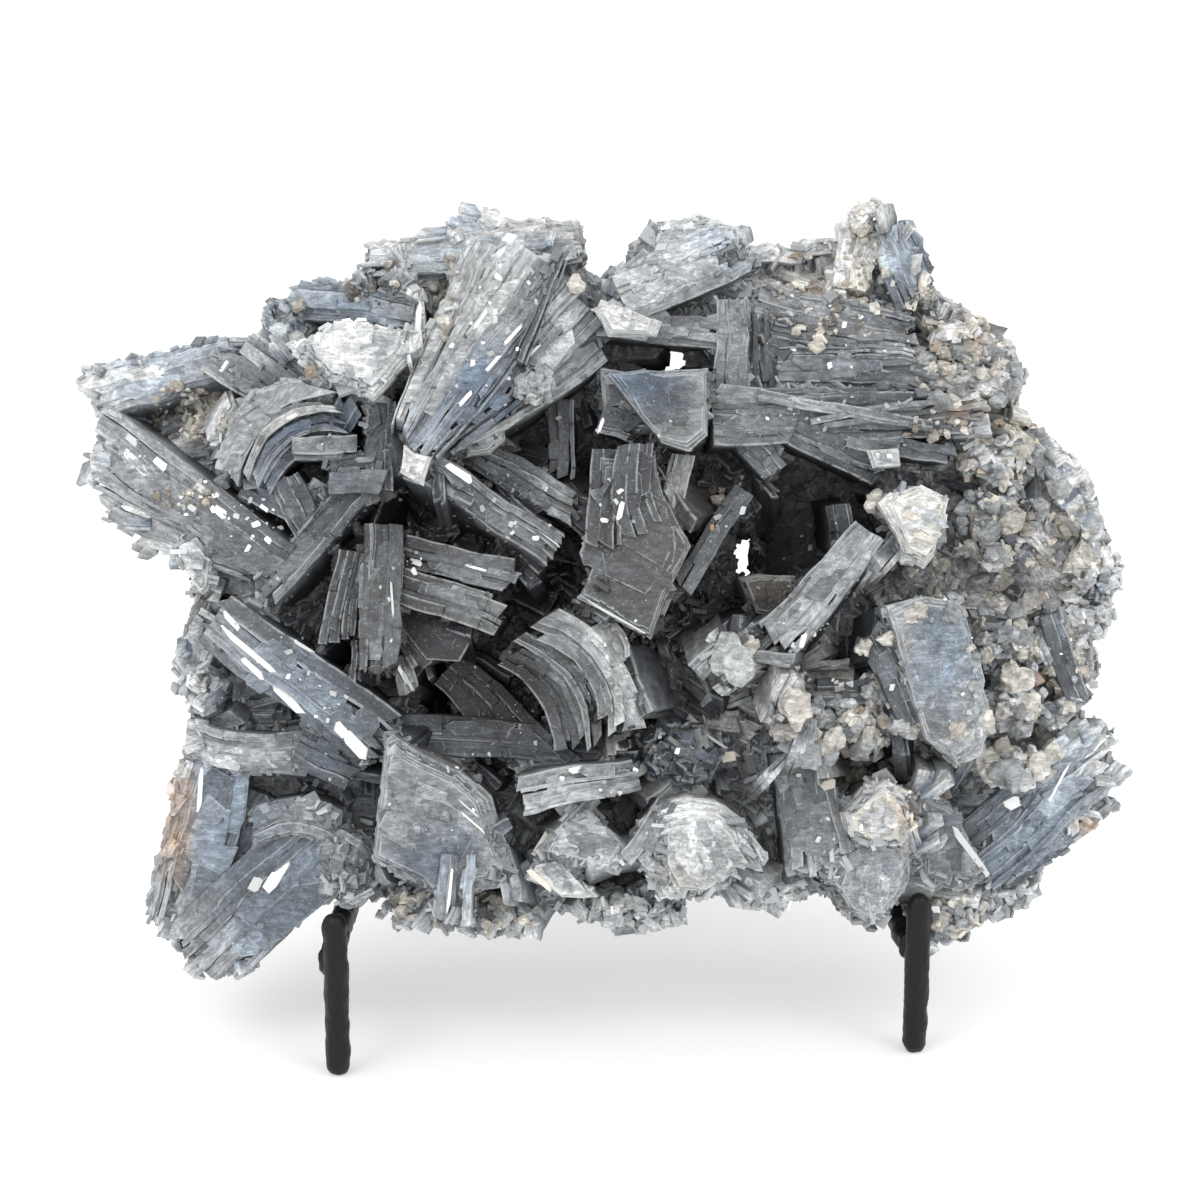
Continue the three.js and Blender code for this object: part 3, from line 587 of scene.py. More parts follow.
class Shells:
    """The crystals of one piece: closed shells, with the values that their finish reads."""

    def __init__(self, name, seed):
        self.name = name
        self.random = np.random.default_rng(seed)
        self.spots, self.tints, self.grains, self.edges, self.faces = [], [], [], [], []
        self.count = 0

    def add(self, spots, tints, grains, edges, *faces):
        for corners in faces:
            self.faces.append(np.asarray(corners) + self.count)
        self.spots.append(spots)
        self.tints.append(tints)
        self.grains.append(grains + self.random.uniform(0, 900, 3))
        self.edges.append(edges)
        self.count += len(spots)

    def stack(self, root, tip, wide, deep, look, plates=None, roll=0, end="square", fan=0, bow=0,
              slip=0.35, cut=0.5, steps=2, thick=PLATE, flare=0.12, record=True):
        """Long plates side by side from a root to a tip; the look names the tones from root to tip."""
        start = on_plate(root)
        run = on_plate(tip) - start
        length = np.linalg.norm(run)
        along = run / length
        side = turned(unit(np.cross((0, 0, 1), along)), along, roll)
        out = np.cross(along, side)
        breadth = wide * near((root[2] + tip[2]) / 2)
        count = plates or max(2, round(breadth / thick))
        draw = self.random.uniform
        cuts = np.concatenate(([0], np.cumsum(draw(0.5, 1.45, count) ** 1.8)))
        cuts = cuts / cuts[-1] - 0.5
        low, high = cuts[:-1, None], cuts[1:, None]
        reach = length - draw(0, slip, count) * breadth - cut * breadth * ENDS[end]((low + high)[:, 0] / 2)
        reach = np.maximum(reach, 0.2 * length)[:, None]
        marks = np.sort(draw(0.12, 0.97, (count, steps)), axis=1)
        tiny = STEP_RUN / reach
        pairs = np.stack((marks - tiny, marks + tiny), axis=2).reshape(count, -1)
        share = np.concatenate((np.zeros((count, 1)), pairs, 1 - 2 * tiny, np.ones((count, 1))), axis=1)
        share = np.sort(share, axis=1)
        rise = np.cumsum(self.jumps((count, steps + 1), STEP_RISE, 0.5), axis=1)
        ladder = np.cumsum(self.jumps(count, 1.6 * STEP_RISE, 0.55))[:, None]
        rise = np.clip(rise + ladder - ladder.mean(), -6 * STEP_RISE, 1.5 * STEP_RISE) - 0.3 * STEP_RISE
        front = np.repeat(rise, 2, axis=1)[:, :share.shape[1] - 1]
        front = np.concatenate((front, front[:, -1:] - BEVEL), axis=1)
        width = (high - low) * breadth
        bevel = np.minimum(BEVEL, 0.25 * width)
        narrow = np.repeat(draw(-0.06, 0.03, (count, steps + 1)), 2, axis=1)[:, :share.shape[1] - 1]
        narrow = np.concatenate((narrow, narrow[:, -1:]), axis=1) * width
        regular = max(2, int(length / ROW_SPACING))
        share, front, narrow = self.finer(share, front, narrow, regular)
        rows = share.shape[1]
        lowest = low * breadth + narrow * 0.5
        highest = high * breadth - narrow * 0.5
        centre = (lowest + highest) / 2
        floor = np.full_like(share, -deep) - draw(0, 1.5, (count, 1))
        across = np.stack((lowest, lowest, lowest + bevel, centre, highest - bevel, highest, highest), axis=2)
        depth = np.stack((floor, front - bevel, front, front, front, front - bevel, floor), axis=2)
        depth[:, :, 3] += draw(-0.25, 0.35, (count, 1)) * np.minimum(width, 2) * 0.4
        shift = np.repeat((share * reach)[:, :, None], AROUND, axis=2)
        ended = np.clip((share - (1 - 3 / reach)) * reach / 3, 0, 1)[:, :, None]
        chisel = self.random.normal(0, 0.35) + self.random.normal(0, 0.25, (count, 1, 1))
        _, undercut = draw(0.1, 0.6, (2, count, 1, 1))
        shift = shift + ended * (chisel * (across - centre[:, :, None])
                                 + np.clip(depth - front[:, :, None], -2, 0) * undercut)
        across = across * (1 + flare * (share - 0.6))[:, :, None]
        across = across + (bow * 4 * share * (1 - share))[:, :, None]
        turn = fan * np.linspace(-0.5, 0.5, count) + self.random.normal(0, 0.6, count)
        turn = np.radians(turn)[:, None, None]
        ahead = shift * np.cos(turn) - across * np.sin(turn)
        sideways = shift * np.sin(turn) + across * np.cos(turn)
        spots = start + ahead[..., None] * along + sideways[..., None] * side + depth[..., None] * out
        tones = np.array([tone(name) for name in look.split()])
        scale = np.linspace(0, 1, len(tones))
        tints = np.stack([np.interp(share, scale, tones[:, c]) for c in range(3)], axis=-1)
        shades = np.exp(self.random.normal(0, CONTRAST, (count, 1, 1)))
        tints = np.repeat((tints * shades)[:, :, None, :], AROUND, axis=2)
        grains = np.stack((shift, across, depth), axis=-1)
        # inset: distance from a rim, where plates are pale with frost and painted edge light
        inset = np.zeros((count, rows, AROUND))
        inset[:, :, 3] = width / 2
        inset[:, :, (0, 6)] = 6
        inset[:, :, 1:3] = RIM_WIDTH * self.random.integers(0, 2, (count, 1, 1))
        inset[:, :, 4:6] = RIM_WIDTH * self.random.integers(0, 2, (count, 1, 1))
        inset[:, -1, 1:6] = 0
        # the back corners of each plate carry their depth below its front, which the finish darkens as
        # painted shade
        behind = np.zeros((count, rows, AROUND))
        behind[:, :, (0, 6)] = front[:, :, None] - floor[:, :, None]
        edges = np.stack((inset, behind, np.zeros_like(inset)), axis=-1)
        ring = np.arange(AROUND)
        after = (ring + 1) % AROUND
        row = np.arange(rows - 1)[:, None] * AROUND
        quads = np.stack((row + ring, row + AROUND + ring, row + AROUND + after, row + after), axis=-1)
        first = np.arange(count)[:, None, None] * rows * AROUND
        caps = np.stack((ring, (rows - 1) * AROUND + ring[::-1]))
        self.add(*(values.reshape(-1, 3) for values in (spots, tints, grains, edges)),
                 (quads.reshape(-1, 4) + first).reshape(-1, 4), (caps + first).reshape(-1, AROUND))
        flakes = int(length * breadth / FLAKE_AREA * draw(0.6, 1.4))
        if flakes:
            sizes = np.stack((draw(0.08, 0.45, flakes) * length, draw(0.15, 0.5, flakes) * breadth,
                              draw(1.0, 2.2, flakes)), axis=1)
            shortest = reach.min() / length
            place = 0.5 * sizes[:, 0] / length + draw(0, 1, flakes) * (shortest - sizes[:, 0] / length)
            beside = draw(-0.5, 0.5, flakes) * (1 - 0.8 * sizes[:, 1] / breadth)
            curve = bow * 4 * place * (1 - place)
            lift = rise.mean() + draw(-0.45, 0.3, flakes) - sizes[:, 2] / 2 + 0.35
            angle = np.radians(fan * beside * 1.1 + self.random.normal(0, 2.5, flakes))
            angle = angle + np.arctan2(bow * 4 * (1 - 2 * place), length)
            ahead = place * length
            sideways = beside * breadth + curve + np.tan(np.radians(fan) * beside) * ahead * 0.6
            middles = (start + ahead[:, None] * along + sideways[:, None] * side + lift[:, None] * out)
            ways = np.cos(angle)[:, None] * along + np.sin(angle)[:, None] * side
            shade = np.exp(self.random.normal(0.15, 0.25, (flakes, 1)))
            colours = np.stack([np.interp(place, scale, tones[:, c]) for c in range(3)], axis=1) * shade
            self.tablets(middles, ways, np.tile(out, (flakes, 1)), sizes, colours)
        if record:
            for part in (0.15, 0.5, 0.85):
                runs.append((*(start + run * part)[:2], math.atan2(run[1], run[0]), look))

    def jumps(self, shape, size, share):
        """Mostly nearly level, with a step of some size now and then."""
        small = self.random.normal(0, 0.12 * size, shape)
        return np.where(self.random.random(shape) < share, small, self.random.normal(0, 1.7 * size, shape))

    @staticmethod
    def finer(share, front, narrow, regular):
        """Adds evenly spaced rows to the plates, so that they can follow the rock's unevenness."""
        count = len(share)
        extra = np.linspace(0, 1, regular + 1)[1:-1]
        new = np.sort(np.concatenate((share, np.tile(extra, (count, 1))), axis=1), axis=1)
        return new, *(np.stack([np.interp(n, s, v) for n, s, v in zip(new, share, values)])
                      for values in (front, narrow))

    def slab(self, outline, z, deep, look, slope=(0, 0), ledges=3, shrink=0.14, towards=(0, 0),
             ragged=0.35, blush=None):
        """Broad plates face-on: terraces that shrink towards the eye, on layers that go back to the rock."""
        draw = self.random.uniform
        corners = np.array(outline, float) * near(z)
        centre = corners.mean(axis=0)
        corners = corners - centre
        if np.cross(corners, np.roll(corners, -1, axis=0)).sum() < 0:
            corners = corners[::-1]
        edge_of, points = self.stepped(corners, ragged)
        anchor = np.array(towards, float)
        depth_now, levels = 0.0, []
        terraces = max(1, round(LEDGE * (ledges - 1) / (0.6 * LAYER)))
        for k in range(terraces):
            share = 1 - shrink * (ledges - 1) * (1 - k / terraces)
            levels.append((share, 0.6 * LAYER))
        while depth_now < deep:
            step = LAYER * draw(0.8, 1.4) * (1 if depth_now < 7 else 2.4)
            levels.append((1, step))
            depth_now += step
        tones = [tone(name) for name in look.split()]
        inner, outer = tones[0], tones[-1]
        lean = np.array((*slope, 1.0))
        height = 0.0
        corner_push = np.zeros(len(corners))
        for k, (share, step) in enumerate(levels):
            jut = 0.55 if k < terraces else 0.8
            corner_push = 0.55 * corner_push + draw(-0.9, 0.25, len(corners)) * jut
            normals = np.roll(corners, -1, axis=0) - corners
            normals = np.stack((normals[:, 1], -normals[:, 0]), axis=1)
            normals /= np.linalg.norm(normals, axis=1)[:, None]
            push = normals[edge_of] * corner_push[edge_of][:, None]
            flat = (points - anchor) * share + anchor + push
            self.layer(flat, height, step + 0.35, z, centre, lean, inner, outer, blush)
            height -= step
        spans = np.roll(corners, -1, axis=0) - corners
        longest = unit(spans[np.argmax(np.linalg.norm(spans, axis=1))])
        wide = np.ptp(corners, axis=0)
        flakes = int(wide[0] * wide[1] / FLAKE_AREA)
        if flakes:
            share = levels[0][0]
            mix = self.random.dirichlet(np.full(len(corners), 0.6), flakes)
            spot = (mix @ corners - anchor) * share * 0.86 + anchor
            facing = unit(np.array((-slope[0], -slope[1], 1.0)))
            way = np.array((*longest, longest @ np.array(slope)))
            ways = np.tile(unit(way), (flakes, 1))
            sizes = np.stack((draw(0.12, 0.4, flakes) * wide.max(), draw(0.06, 0.22, flakes) * wide.max(),
                              draw(1.0, 2.0, flakes)), axis=1)
            room = np.linalg.norm(spot - corners.mean(axis=0), axis=1) / (0.5 * wide.max())
            sizes[:, :2] *= np.clip(1.15 - 0.7 * room, 0.25, 1)[:, None]
            height = spot @ np.array(slope) + draw(0.08, 0.5, flakes) - sizes[:, 2] / 2
            middles = np.column_stack((spot + centre, height + z))
            colours = np.where(draw(0, 1, (flakes, 1)) < 0.5, inner, outer)
            if blush:
                glow = soft_spot(middles, blush[1], blush[2])[:, None]
                colours = colours * (1 - glow) + tone(blush[0]) * glow
            colours = colours * np.exp(self.random.normal(0.05, 0.18, (flakes, 1)))
            self.tablets(middles, ways, np.tile(facing, (flakes, 1)), sizes, colours)

    def stepped(self, corners, ragged):
        """Adds small steps along each side of an outline; also returns the side of each point."""
        edge_of, points = [], []
        for k, (a, b) in enumerate(zip(corners, np.roll(corners, -1, axis=0))):
            span = b - a
            length = np.linalg.norm(span)
            normal = np.array((span[1], -span[0])) / length
            count = max(1, int(length / self.random.uniform(2.5, 4.5)))
            stops = np.sort(self.random.uniform(0.08, 0.92, count - 1))
            offset = 0.0
            points.append(a)
            edge_of.append(k)
            for stop in stops:
                new = self.random.uniform(-1, 0.35) * ragged
                for value in (offset, new):
                    points.append(a + span * stop + normal * value)
                    edge_of.append(k)
                offset = new
        return np.array(edge_of), np.array(points)

    def layer(self, flat, top, step, z, centre, lean, inner, outer, blush):
        """One layer of a slab: side wall, bevel, a pale rim of frost and painted edge light, and a face that
        is toned towards its middle; layers deep down are darkened by the finish as painted shade.
        """
        count = len(flat)
        heart = flat.mean(axis=0)
        away = np.linalg.norm(flat - heart, axis=1)[:, None]

        def inset(by):
            return heart + (flat - heart) * np.clip(1 - by / np.maximum(away, 0.1), 0.05, 1)

        rings = [(flat, top - step, 0.0), (flat, top - BEVEL, 0.0), (inset(BEVEL), top, 0.0),
                 (inset(1.5), top, 1.5), (heart + (flat - heart) * 0.45, top, 4.0)]
        spots, tints, edges = [], [], []
        shade = math.exp(self.random.normal(0, 0.1))
        for number, (ring, height, rim) in enumerate(rings):
            place = np.column_stack((ring, np.full(count, height)))
            spots.append(place)
            share = 1.0 if number == 4 else 0.25 if number == 3 else 0.0
            colour = np.tile(inner * share + outer * (1 - share), (count, 1))
            if blush:
                name, spot, widths = blush
                glow = soft_spot(place[:, :2] + centre, spot, widths)[:, None]
                colour = colour * (1 - glow) + tone(name) * glow
            tints.append(colour * shade)
            # depth below the top, which the finish darkens as painted shade
            behind = max(0.0, -height - 1.5) * 0.8
            edges.append(np.tile((rim, behind, 0), (count, 1)))
        spots, tints, edges = (np.concatenate(v) for v in (spots, tints, edges))
        ring = np.arange(count)
        after = (ring + 1) % count
        quads = [np.stack((ring, after, count + after, count + ring), 1) + n * count for n in range(4)]
        caps = np.stack((4 * count + ring,))
        base = np.stack((ring[::-1],))
        grains = spots.copy()
        height = spots[:, 2] + spots[:, :2] @ lean[:2]
        spots = np.column_stack((spots[:, :2] + centre, height + z))
        self.add(spots, tints, grains * (1, 1, 6), edges, np.concatenate(quads), caps, base)

    def chips(self, centres, normals, sizes, tints, gloss_and_painted_glint=0):
        """Small tabular crystals that face given ways, turned at random about them."""
        if len(centres):
            ways = np.cross(normals, self.random.normal(0, 1, (len(centres), 3)))
            self.tablets(centres, ways / np.linalg.norm(ways, axis=1)[:, None], normals, sizes, tints, gloss_and_painted_glint)

    def tablets(self, centres, ways, normals, sizes, tints, gloss_and_painted_glint=0):
        """Six-sided plates: their middles, the ways they run and face, and (length, width, thickness)."""
        count = len(centres)
        draw = self.random.uniform
        shape = np.array(((-1, -0.55), (-0.6, -1), (0.85, -1), (1, -0.2), (0.6, 1), (-0.9, 0.95)))
        shape = shape[None] * (1 + draw(-0.2, 0.1, (count, 6, 2)))
        shape = shape * self.random.choice((-1, 1), (count, 1, 1))
        over = np.cross(normals, ways)
        rings = []
        for scale, height in ((0.94, -0.5), (1, -0.3), (1, 0.36), (0.9, 0.5)):
            flat = shape * scale * sizes[:, None, :2] / 2
            rings.append(centres[:, None] + flat[..., :1] * ways[:, None] + flat[..., 1:] * over[:, None]
                         + (height * sizes[:, 2])[:, None, None] * normals[:, None])
        spots = np.stack(rings, axis=1).reshape(-1, 3)
        ring = np.arange(6)
        after = (ring + 1) % 6
        quads = np.concatenate([np.stack((ring, after, 6 + after, 6 + ring), 1) + n * 6 for n in range(3)])
        first = np.arange(count)[:, None, None] * 24
        caps = np.stack((18 + ring, ring[::-1]))
        colours = np.repeat(tints, 24, axis=0)
        insets = np.tile(np.repeat((0.6, 0.3, 0.0, 0.6), 6), count)
        edges = np.stack((insets, np.zeros_like(insets), np.full_like(insets, gloss_and_painted_glint)), axis=1)
        self.add(spots, colours, spots.copy(), edges, (quads + first).reshape(-1, 4),
                 (caps + first).reshape(-1, 6))

    def rosette(self, centre, radii, look, count=26, size=3.4):
        """A knob of small plates that stand out of a lump in all directions."""
        way = self.random.normal(0, 1, (count, 3))
        way /= np.linalg.norm(way, axis=1)[:, None]
        way[:, 2] = np.abs(way[:, 2]) * 0.9 + 0.05
        way /= np.linalg.norm(way, axis=1)[:, None]
        spots = on_plate(centre) + way * np.array(radii) * self.random.uniform(0.72, 0.98, (count, 1))
        leaning = way + self.random.normal(0, 0.45, (count, 3))
        leaning /= np.linalg.norm(leaning, axis=1)[:, None]
        sizes = self.random.uniform(0.6, 1.4, (count, 3)) * np.array((size, size * 0.75, size * 0.42))
        self.chips(spots, leaning, sizes, self.tones_of(look, count))

    def tones_of(self, look, count):
        names = look.split()
        picks = self.random.integers(0, len(names), count)
        shades = np.exp(self.random.normal(0, 0.22, (count, 1)))
        return np.array([tone(names[k]) for k in picks]) * shades

    def piece(self, bent=True, lightest=LIGHTEST):
        mesh = bpy.data.meshes.new(self.name)
        flat = np.concatenate(self.spots)
        flat = uneven(flat) if bent else flat
        spots = to_world(flat)
        sizes = np.concatenate([np.full(len(faces), faces.shape[1]) for faces in self.faces])
        mesh.vertices.add(len(spots))
        mesh.vertices.foreach_set("co", spots.ravel())
        mesh.loops.add(int(sizes.sum()))
        mesh.loops.foreach_set("vertex_index", np.concatenate([faces.ravel() for faces in self.faces]))
        mesh.polygons.add(len(sizes))
        mesh.polygons.foreach_set("loop_start", np.concatenate(([0], np.cumsum(sizes)[:-1])))
        mesh.update(calc_edges=True)
        mesh.validate()
        tints, grains, edges = (np.concatenate(rows) for rows in (self.tints, self.grains, self.edges))
        if bent:
            tints = stained(flat, tints * lightness(flat)[:, None])
        dressed(mesh, np.minimum(tints, lightest), grains, edges)
        grown.append(mesh)
        return shown(self.name, mesh, barite_finish, smooth=False)


def crystals(name, seed):
    """A new piece, and what adds to it."""
    made = Shells("crystals_" + name, seed)
    return made, made.stack, made.slab, made.rosette


part, stack, slab, rosette = crystals("upper_left", 11)
stack((-92, 61, 4), (-132, 50.5, 3), 11.5, 16, "sky sky ice", roll=12, end="slant")
stack((-98, 60, 8), (-81, 51, 12), 8, 14, "mist grey grey")
stack((-89, 64, 9), (-74, 54, 13), 7, 14, "mist grey grey")
stack((-80, 9, 12), (-130, 45, 3), 13.5, 16, "slate grey mist", roll=-8, end="slant", cut=0.35)
stack((-88, 11, 6), (-126, 33, 2), 7, 14, "blue grey mist")
stack((-86, 9, 5), (-122, 24, 2), 7.5, 14, "blue mist mist")
stack((-86, 7, 4), (-115, 17.5, 1), 6.5, 14, "blue mist pale")
slab([(-107, 14.5), (-102, 16), (-97, 10), (-98, 2.5), (-100, 1), (-106, 10.5)], 6, 14, "mist pale",
     ledges=2)
stack((-93.5, 32, 15), (-67, 53, 19), 8.5, 24, "grey mist mist", bow=7, plates=2, end="round", flare=0)
stack((-89, 31, 15), (-65.5, 47.5, 20), 2.4, 24, "mist white pale", bow=6.5, plates=2, flare=0)
stack((-86.5, 30, 15), (-64, 44, 18), 4.5, 22, "sky deep blue", bow=5.5, plates=3, flare=0)
stack((-83.5, 29, 14), (-61, 40.5, 15), 4.5, 20, "blue navy dark", bow=5, plates=2, flare=0)
stack((-77, 38, 17), (-60.5, 39, 17), 5.5, 18, "mist grey slate", plates=2, slip=0.1)
stack((-88, 30, 11), (-66, 21, 10), 9, 14, "navy slate dark", end="round")
stack((-79, 31, 12), (-70, 13, 11), 8, 14, "slate slate dark", end="round")
stack((-55, 50, 14), (-55.5, 27, 16), 6.5, 18, "dark slate slate", plates=2, slip=0.05, flare=0)
stack((-67.5, 31.5, 16), (-54, 31.5, 16), 10.5, 18, "slate slate grey", plates=2, slip=0.05, flare=0)
stack((-61, 27, 14), (-86, 1, 12), 8.5, 18, "slate slate grey", roll=10)
stack((-62, 12, 16), (-66.5, -13, 18), 8, 22, "dark slate slate", end="slant")
stack((-54, 19, 18), (-55.5, -19.5, 24), 10.5, 28, "slate grey grey", end="slant", cut=0.3, roll=-8)
slab([(-79, 64), (-67.5, 69), (-45, 67.5), (-47, 60), (-57.5, 50.5), (-70, 54)], 24, 28, "mist pale",
     slope=(0.05, 0.3), ledges=3, towards=(2, 5))
stack((-47, 71, 15), (-78, 76, 10), 9, 20, "grey blue sky")
slab([(-76, 78), (-70, 82), (-64, 80), (-64, 74), (-70, 72.5)], 9, 14, "blue sky")
slab([(-55, 81), (-50, 84.5), (-45, 80), (-50, 74.5)], 11, 18, "grey mist", slope=(0.2, -0.2))
rosette((-79, 69.5, 8), (5.5, 6, 7), "sky blue ice")
stack((-84, 5, -3), (-103, 6, -1), 9, 44, "grey mist mist", flare=0, record=False)
stack((-86, 12, -6), (-103, 11.5, -5), 8, 42, "grey mist mist", flare=0, record=False)
part.piece()

# Crystals at the top, and the big fan that points down to the left
# The fan's plates spread from the top and end in one pale square block. Pale pebbles and thin
# upright blades sit in the notch to its left.

part, stack, slab, rosette = crystals("top", 12)
stack((-5, 90, 2), (-63, 83.5, 1), 10.5, 22, "mist sky ice", end="back")
slab([(-47, 90), (-34, 95), (-30, 97.5), (-24, 96), (-13, 95.5), (-10, 90), (-28, 86)], -1, 16, "sky ice")
stack((-46, 78, 12), (-45.5, 60, 18), 4, 16, "pale white pale", plates=3)
stack((-33, 86, 10), (-35, 56, 20), 8, 20, "mist grey mist", fan=5, thick=1.3)
stack((-26, 88, 13), (-49, 42, 25), 9, 24, "mist pale mist pale", thick=1.2, flare=-0.55, bow=-1.5, steps=4)
stack((-17, 87, 16), (-47, 39, 29), 10, 28, "mist pale mist sky", thick=1.2, flare=-0.6, bow=-1, steps=4)
stack((-10, 82, 18), (-44.5, 36.5, 31), 10, 28, "grey mist deep sky", thick=1.2, flare=-0.6, steps=4)
stack((-4, 74, 17), (-41, 38, 29), 10, 26, "grey mist deep mist", thick=1.2, flare=-0.6, bow=1, steps=4)
stack((-1, 64, 14), (-36, 40, 25), 8.5, 22, "slate mist pale", thick=1.4, flare=-0.4, bow=1, steps=4)
slab([(-49, 39), (-42, 36.5), (-45, 29), (-51, 32)], 33, 26, "pale white", slope=(0.1, 0.2), ledges=2)
stack((-10, 86, 20), (-20, 60, 27), 3, 18, "slate slate slate", plates=3)
rosette((-16, 54, 22), (4.5, 4.5, 6), "mist pale")
slab([(-30, 46), (-24.5, 44), (-23.5, 40.5), (-27, 36.5), (-34, 35), (-35.5, 41)], 23, 22, "slate mist")
stack((-9.5, 50, 10), (-9.5, 31, 12), 6.5, 16, "dark slate slate")
part.piece()

# Crystals at the top right
# A grey stack with a bright plate under it, and a blue plate that hangs in front of a gap.
# Towards the right the plates stand in sandy matrix as thin ridges.

part, stack, slab, rosette = crystals("top_right", 13)
stack((5, 76, 6), (36, 89, 2), 15, 22, "mist mist sky", end="slant", cut=0.3)
slab([(8, 89), (14, 94), (25, 96.5), (34, 94), (36, 87), (26, 80), (9, 82)], 0, 16, "mist ice")
slab([(-2.5, 73), (3, 75.5), (15, 71), (14, 67), (2, 66)], 20, 20, "white pale", slope=(0, 0.2))
stack((-1, 69, 12), (32, 66, 12), 7, 18, "mist grey grey")
slab([(1.5, 57), (10, 59), (28, 57.5), (27, 41), (22.5, 37), (15.5, 39), (9.5, 46)], 25, 28, "grey mist",
     slope=(0.05, -0.12), ledges=2, towards=(2, 3), blush=("deep", (10, 52), (13, 12)))
slab([(0, 58), (8, 57), (8, 48), (1, 48)], 15, 18, "slate grey", slope=(0.2, 0.1), ledges=1)
stack((0, 45.5, 17), (10, 42, 17), 6.5, 18, "slate dark slate", plates=3)
stack((33, 75, 12), (33.5, 47, 14), 8, 18, "grey grey slate")
stack((41, 72, 8), (42, 50, 8), 6, 16, "slate slate dark")
rosette((54, 66, 2), (20, 15, 10), "grey brown sand slate", count=90)
stack((38, 86, 1), (51, 87, 0), 4.5, 16, "mist pale sand")
stack((50, 88.5, 0), (60, 89, 0), 4, 16, "mist pale mist")
stack((40, 76, 9), (78, 66, 10), 9, 16, "grey grey slate", thick=1.4, steps=4, slip=0.6)
stack((45, 59, 11), (86, 57, 10), 9, 18, "grey slate grey", thick=1.4, steps=4, slip=0.6, bow=1.5)
stack((44, 68, 10), (80, 63, 11), 5, 16, "slate grey mist", thick=1.2, steps=4)
stack((62, 78, 5), (65, 96, 0), 9, 18, "sand mist mist")
rosette((66, 95, 0), (4.2, 4, 5), "cream pale")
stack((72, 93, 2), (81, 73, 6), 12, 20, "sky blue slate", end="slant", thick=1.3)
slab([(82, 69), (84, 79), (94, 71), (91, 66)], 5, 18, "slate mist", slope=(0.2, 0))
rosette((90, 64, 6), (9, 6, 8), "sand cream tan", count=50)
slab([(96, 66), (104, 65.5), (107, 57), (106, 50), (98, 50)], 5, 20, "grey mist")
stack((86, 56, 11), (105, 52.5, 8), 6.5, 14, "pale pale white", plates=4, end="point")
part.piece()

# Crystals on the right
# A long horizontal stack roofs the largest hollow; a square-ended blade, a cream rosette and
# smooth plates stand round it, with knobs of small plates down the outer side.

part, stack, slab, rosette = crystals("right", 14)
stack((28, 46, 18), (96, 47.5, 14), 13, 24, "grey slate slate", slip=0.5, thick=1.4, steps=5, flare=-0.25)
stack((40, 51, 19), (84, 43, 18), 3.4, 18, "grey mist slate", steps=4, end="slant")
stack((52, 44, 19), (97, 50, 15), 3, 18, "slate grey mist", steps=4, end="slant")
stack((62, 41, 17), (90, 36, 13), 5, 18, "grey slate slate", steps=3, end="back")
stack((48, 42, 18), (72, 32, 14), 7, 18, "slate slate dark", end="slant")
slab([(67, 38), (75, 38.5), (76, 34), (69, 33)], 18, 26, "mist pale", ledges=2)
stack((31, 46, 16), (45, 31, 16), 6.5, 20, "slate slate slate")
stack((67.5, 17, 23), (44, -10.5, 27), 10.5, 34, "grey grey mist", roll=8, plates=5, slip=0.1)
stack((60, 24, 11), (62, 9, 10), 6, 40, "dark dark slate", plates=3)
slab([(70, 24), (73, 27.5), (79, 29.5), (88, 26), (88, 20), (86, 13), (82, 7.5), (76, 10), (74.5, 16)],
     25, 32, "mist cream", slope=(-0.1, 0.05), towards=(2, 1), ragged=0.8)
slab([(34, 5), (39, 6.5), (49, 6), (50, 0), (45, -6), (38, -5)], 12, 24, "brown brown", slope=(0, 0.3))
slab([(107.5, 45), (114, 41), (119, 31), (124.5, 24), (127, 16), (121, 15), (115, 25), (109, 35)], 3, 20,
     "blue mist", ledges=2)
rosette((123, 7, -2), (6, 7, 8), "mist ice pale", count=40)
rosette((120, -4, -2), (8, 7, 9), "mist ice pale", count=50)
rosette((116, -15, -2), (9, 9, 10), "mist pale sand", count=60)
rosette((99, 36, 3), (11, 8, 9), "sand tan grey mist", count=60)
rosette((100, 18, 3), (12, 11, 10), "sand grey mist slate", count=70)
rosette((101, -12, 4), (10, 8, 9), "mist sand slate", count=50)
rosette((103, -27, 5), (9, 8, 9), "mist cream slate", count=50)
part.piece()

# Crystals in the middle
# A tall crystal with a sharp tip stands in front of dark hollows; upright blades to its right
# and a curved rosette below it catch the light.

part, stack, slab, rosette = crystals("middle", 15)
stack((-43, 33.5, 28), (-10.5, 12.5, 22), 8.5, 26, "slate grey grey", roll=-10, slip=0.08, plates=6)
stack((-33, 38, 17), (-3, 21, 14), 8.5, 18, "dark slate mist", end="slant")
stack((-49, 12.5, 16), (-19, 5, 18), 8.5, 20, "dark grey grey", end="round")
stack((-50, 4, 18), (-23, -5, 20), 9, 22, "slate grey mist", end="round")
slab([(-50, 1), (-41, 2), (-32, -2), (-32, -10), (-35, -15), (-44, -15), (-50, -8)], 12, 18, "dark slate",
     slope=(0.1, -0.2), ledges=1)
slab([(0, 36), (14, 38), (17, 25), (23, 14), (17, 0), (13, -10), (-5.5, 0.5), (0, 14), (-0.5, 25)], 25,
     32, "grey grey", slope=(-0.1, -0.12), shrink=0.1, towards=(2, -4), ledges=2)
stack((2, 38, 20), (1, 12, 29), 8, 26, "slate slate grey", end="round", cut=0.3)
stack((9, 39, 24), (10.5, 13, 26.5), 10, 8, "slate slate grey", end="slant", bow=-1.5, steps=4)
stack((21, 36, 16), (17, 18, 19), 6, 20, "mist pale mist", plates=4, end="slant")
stack((36, 27.5, 18), (20, 3, 22), 5.5, 22, "slate slate grey")
stack((-12, -3, 22), (9.5, -33, 21), 5, 24, "mist pale mist", bow=5, plates=1, end="round")
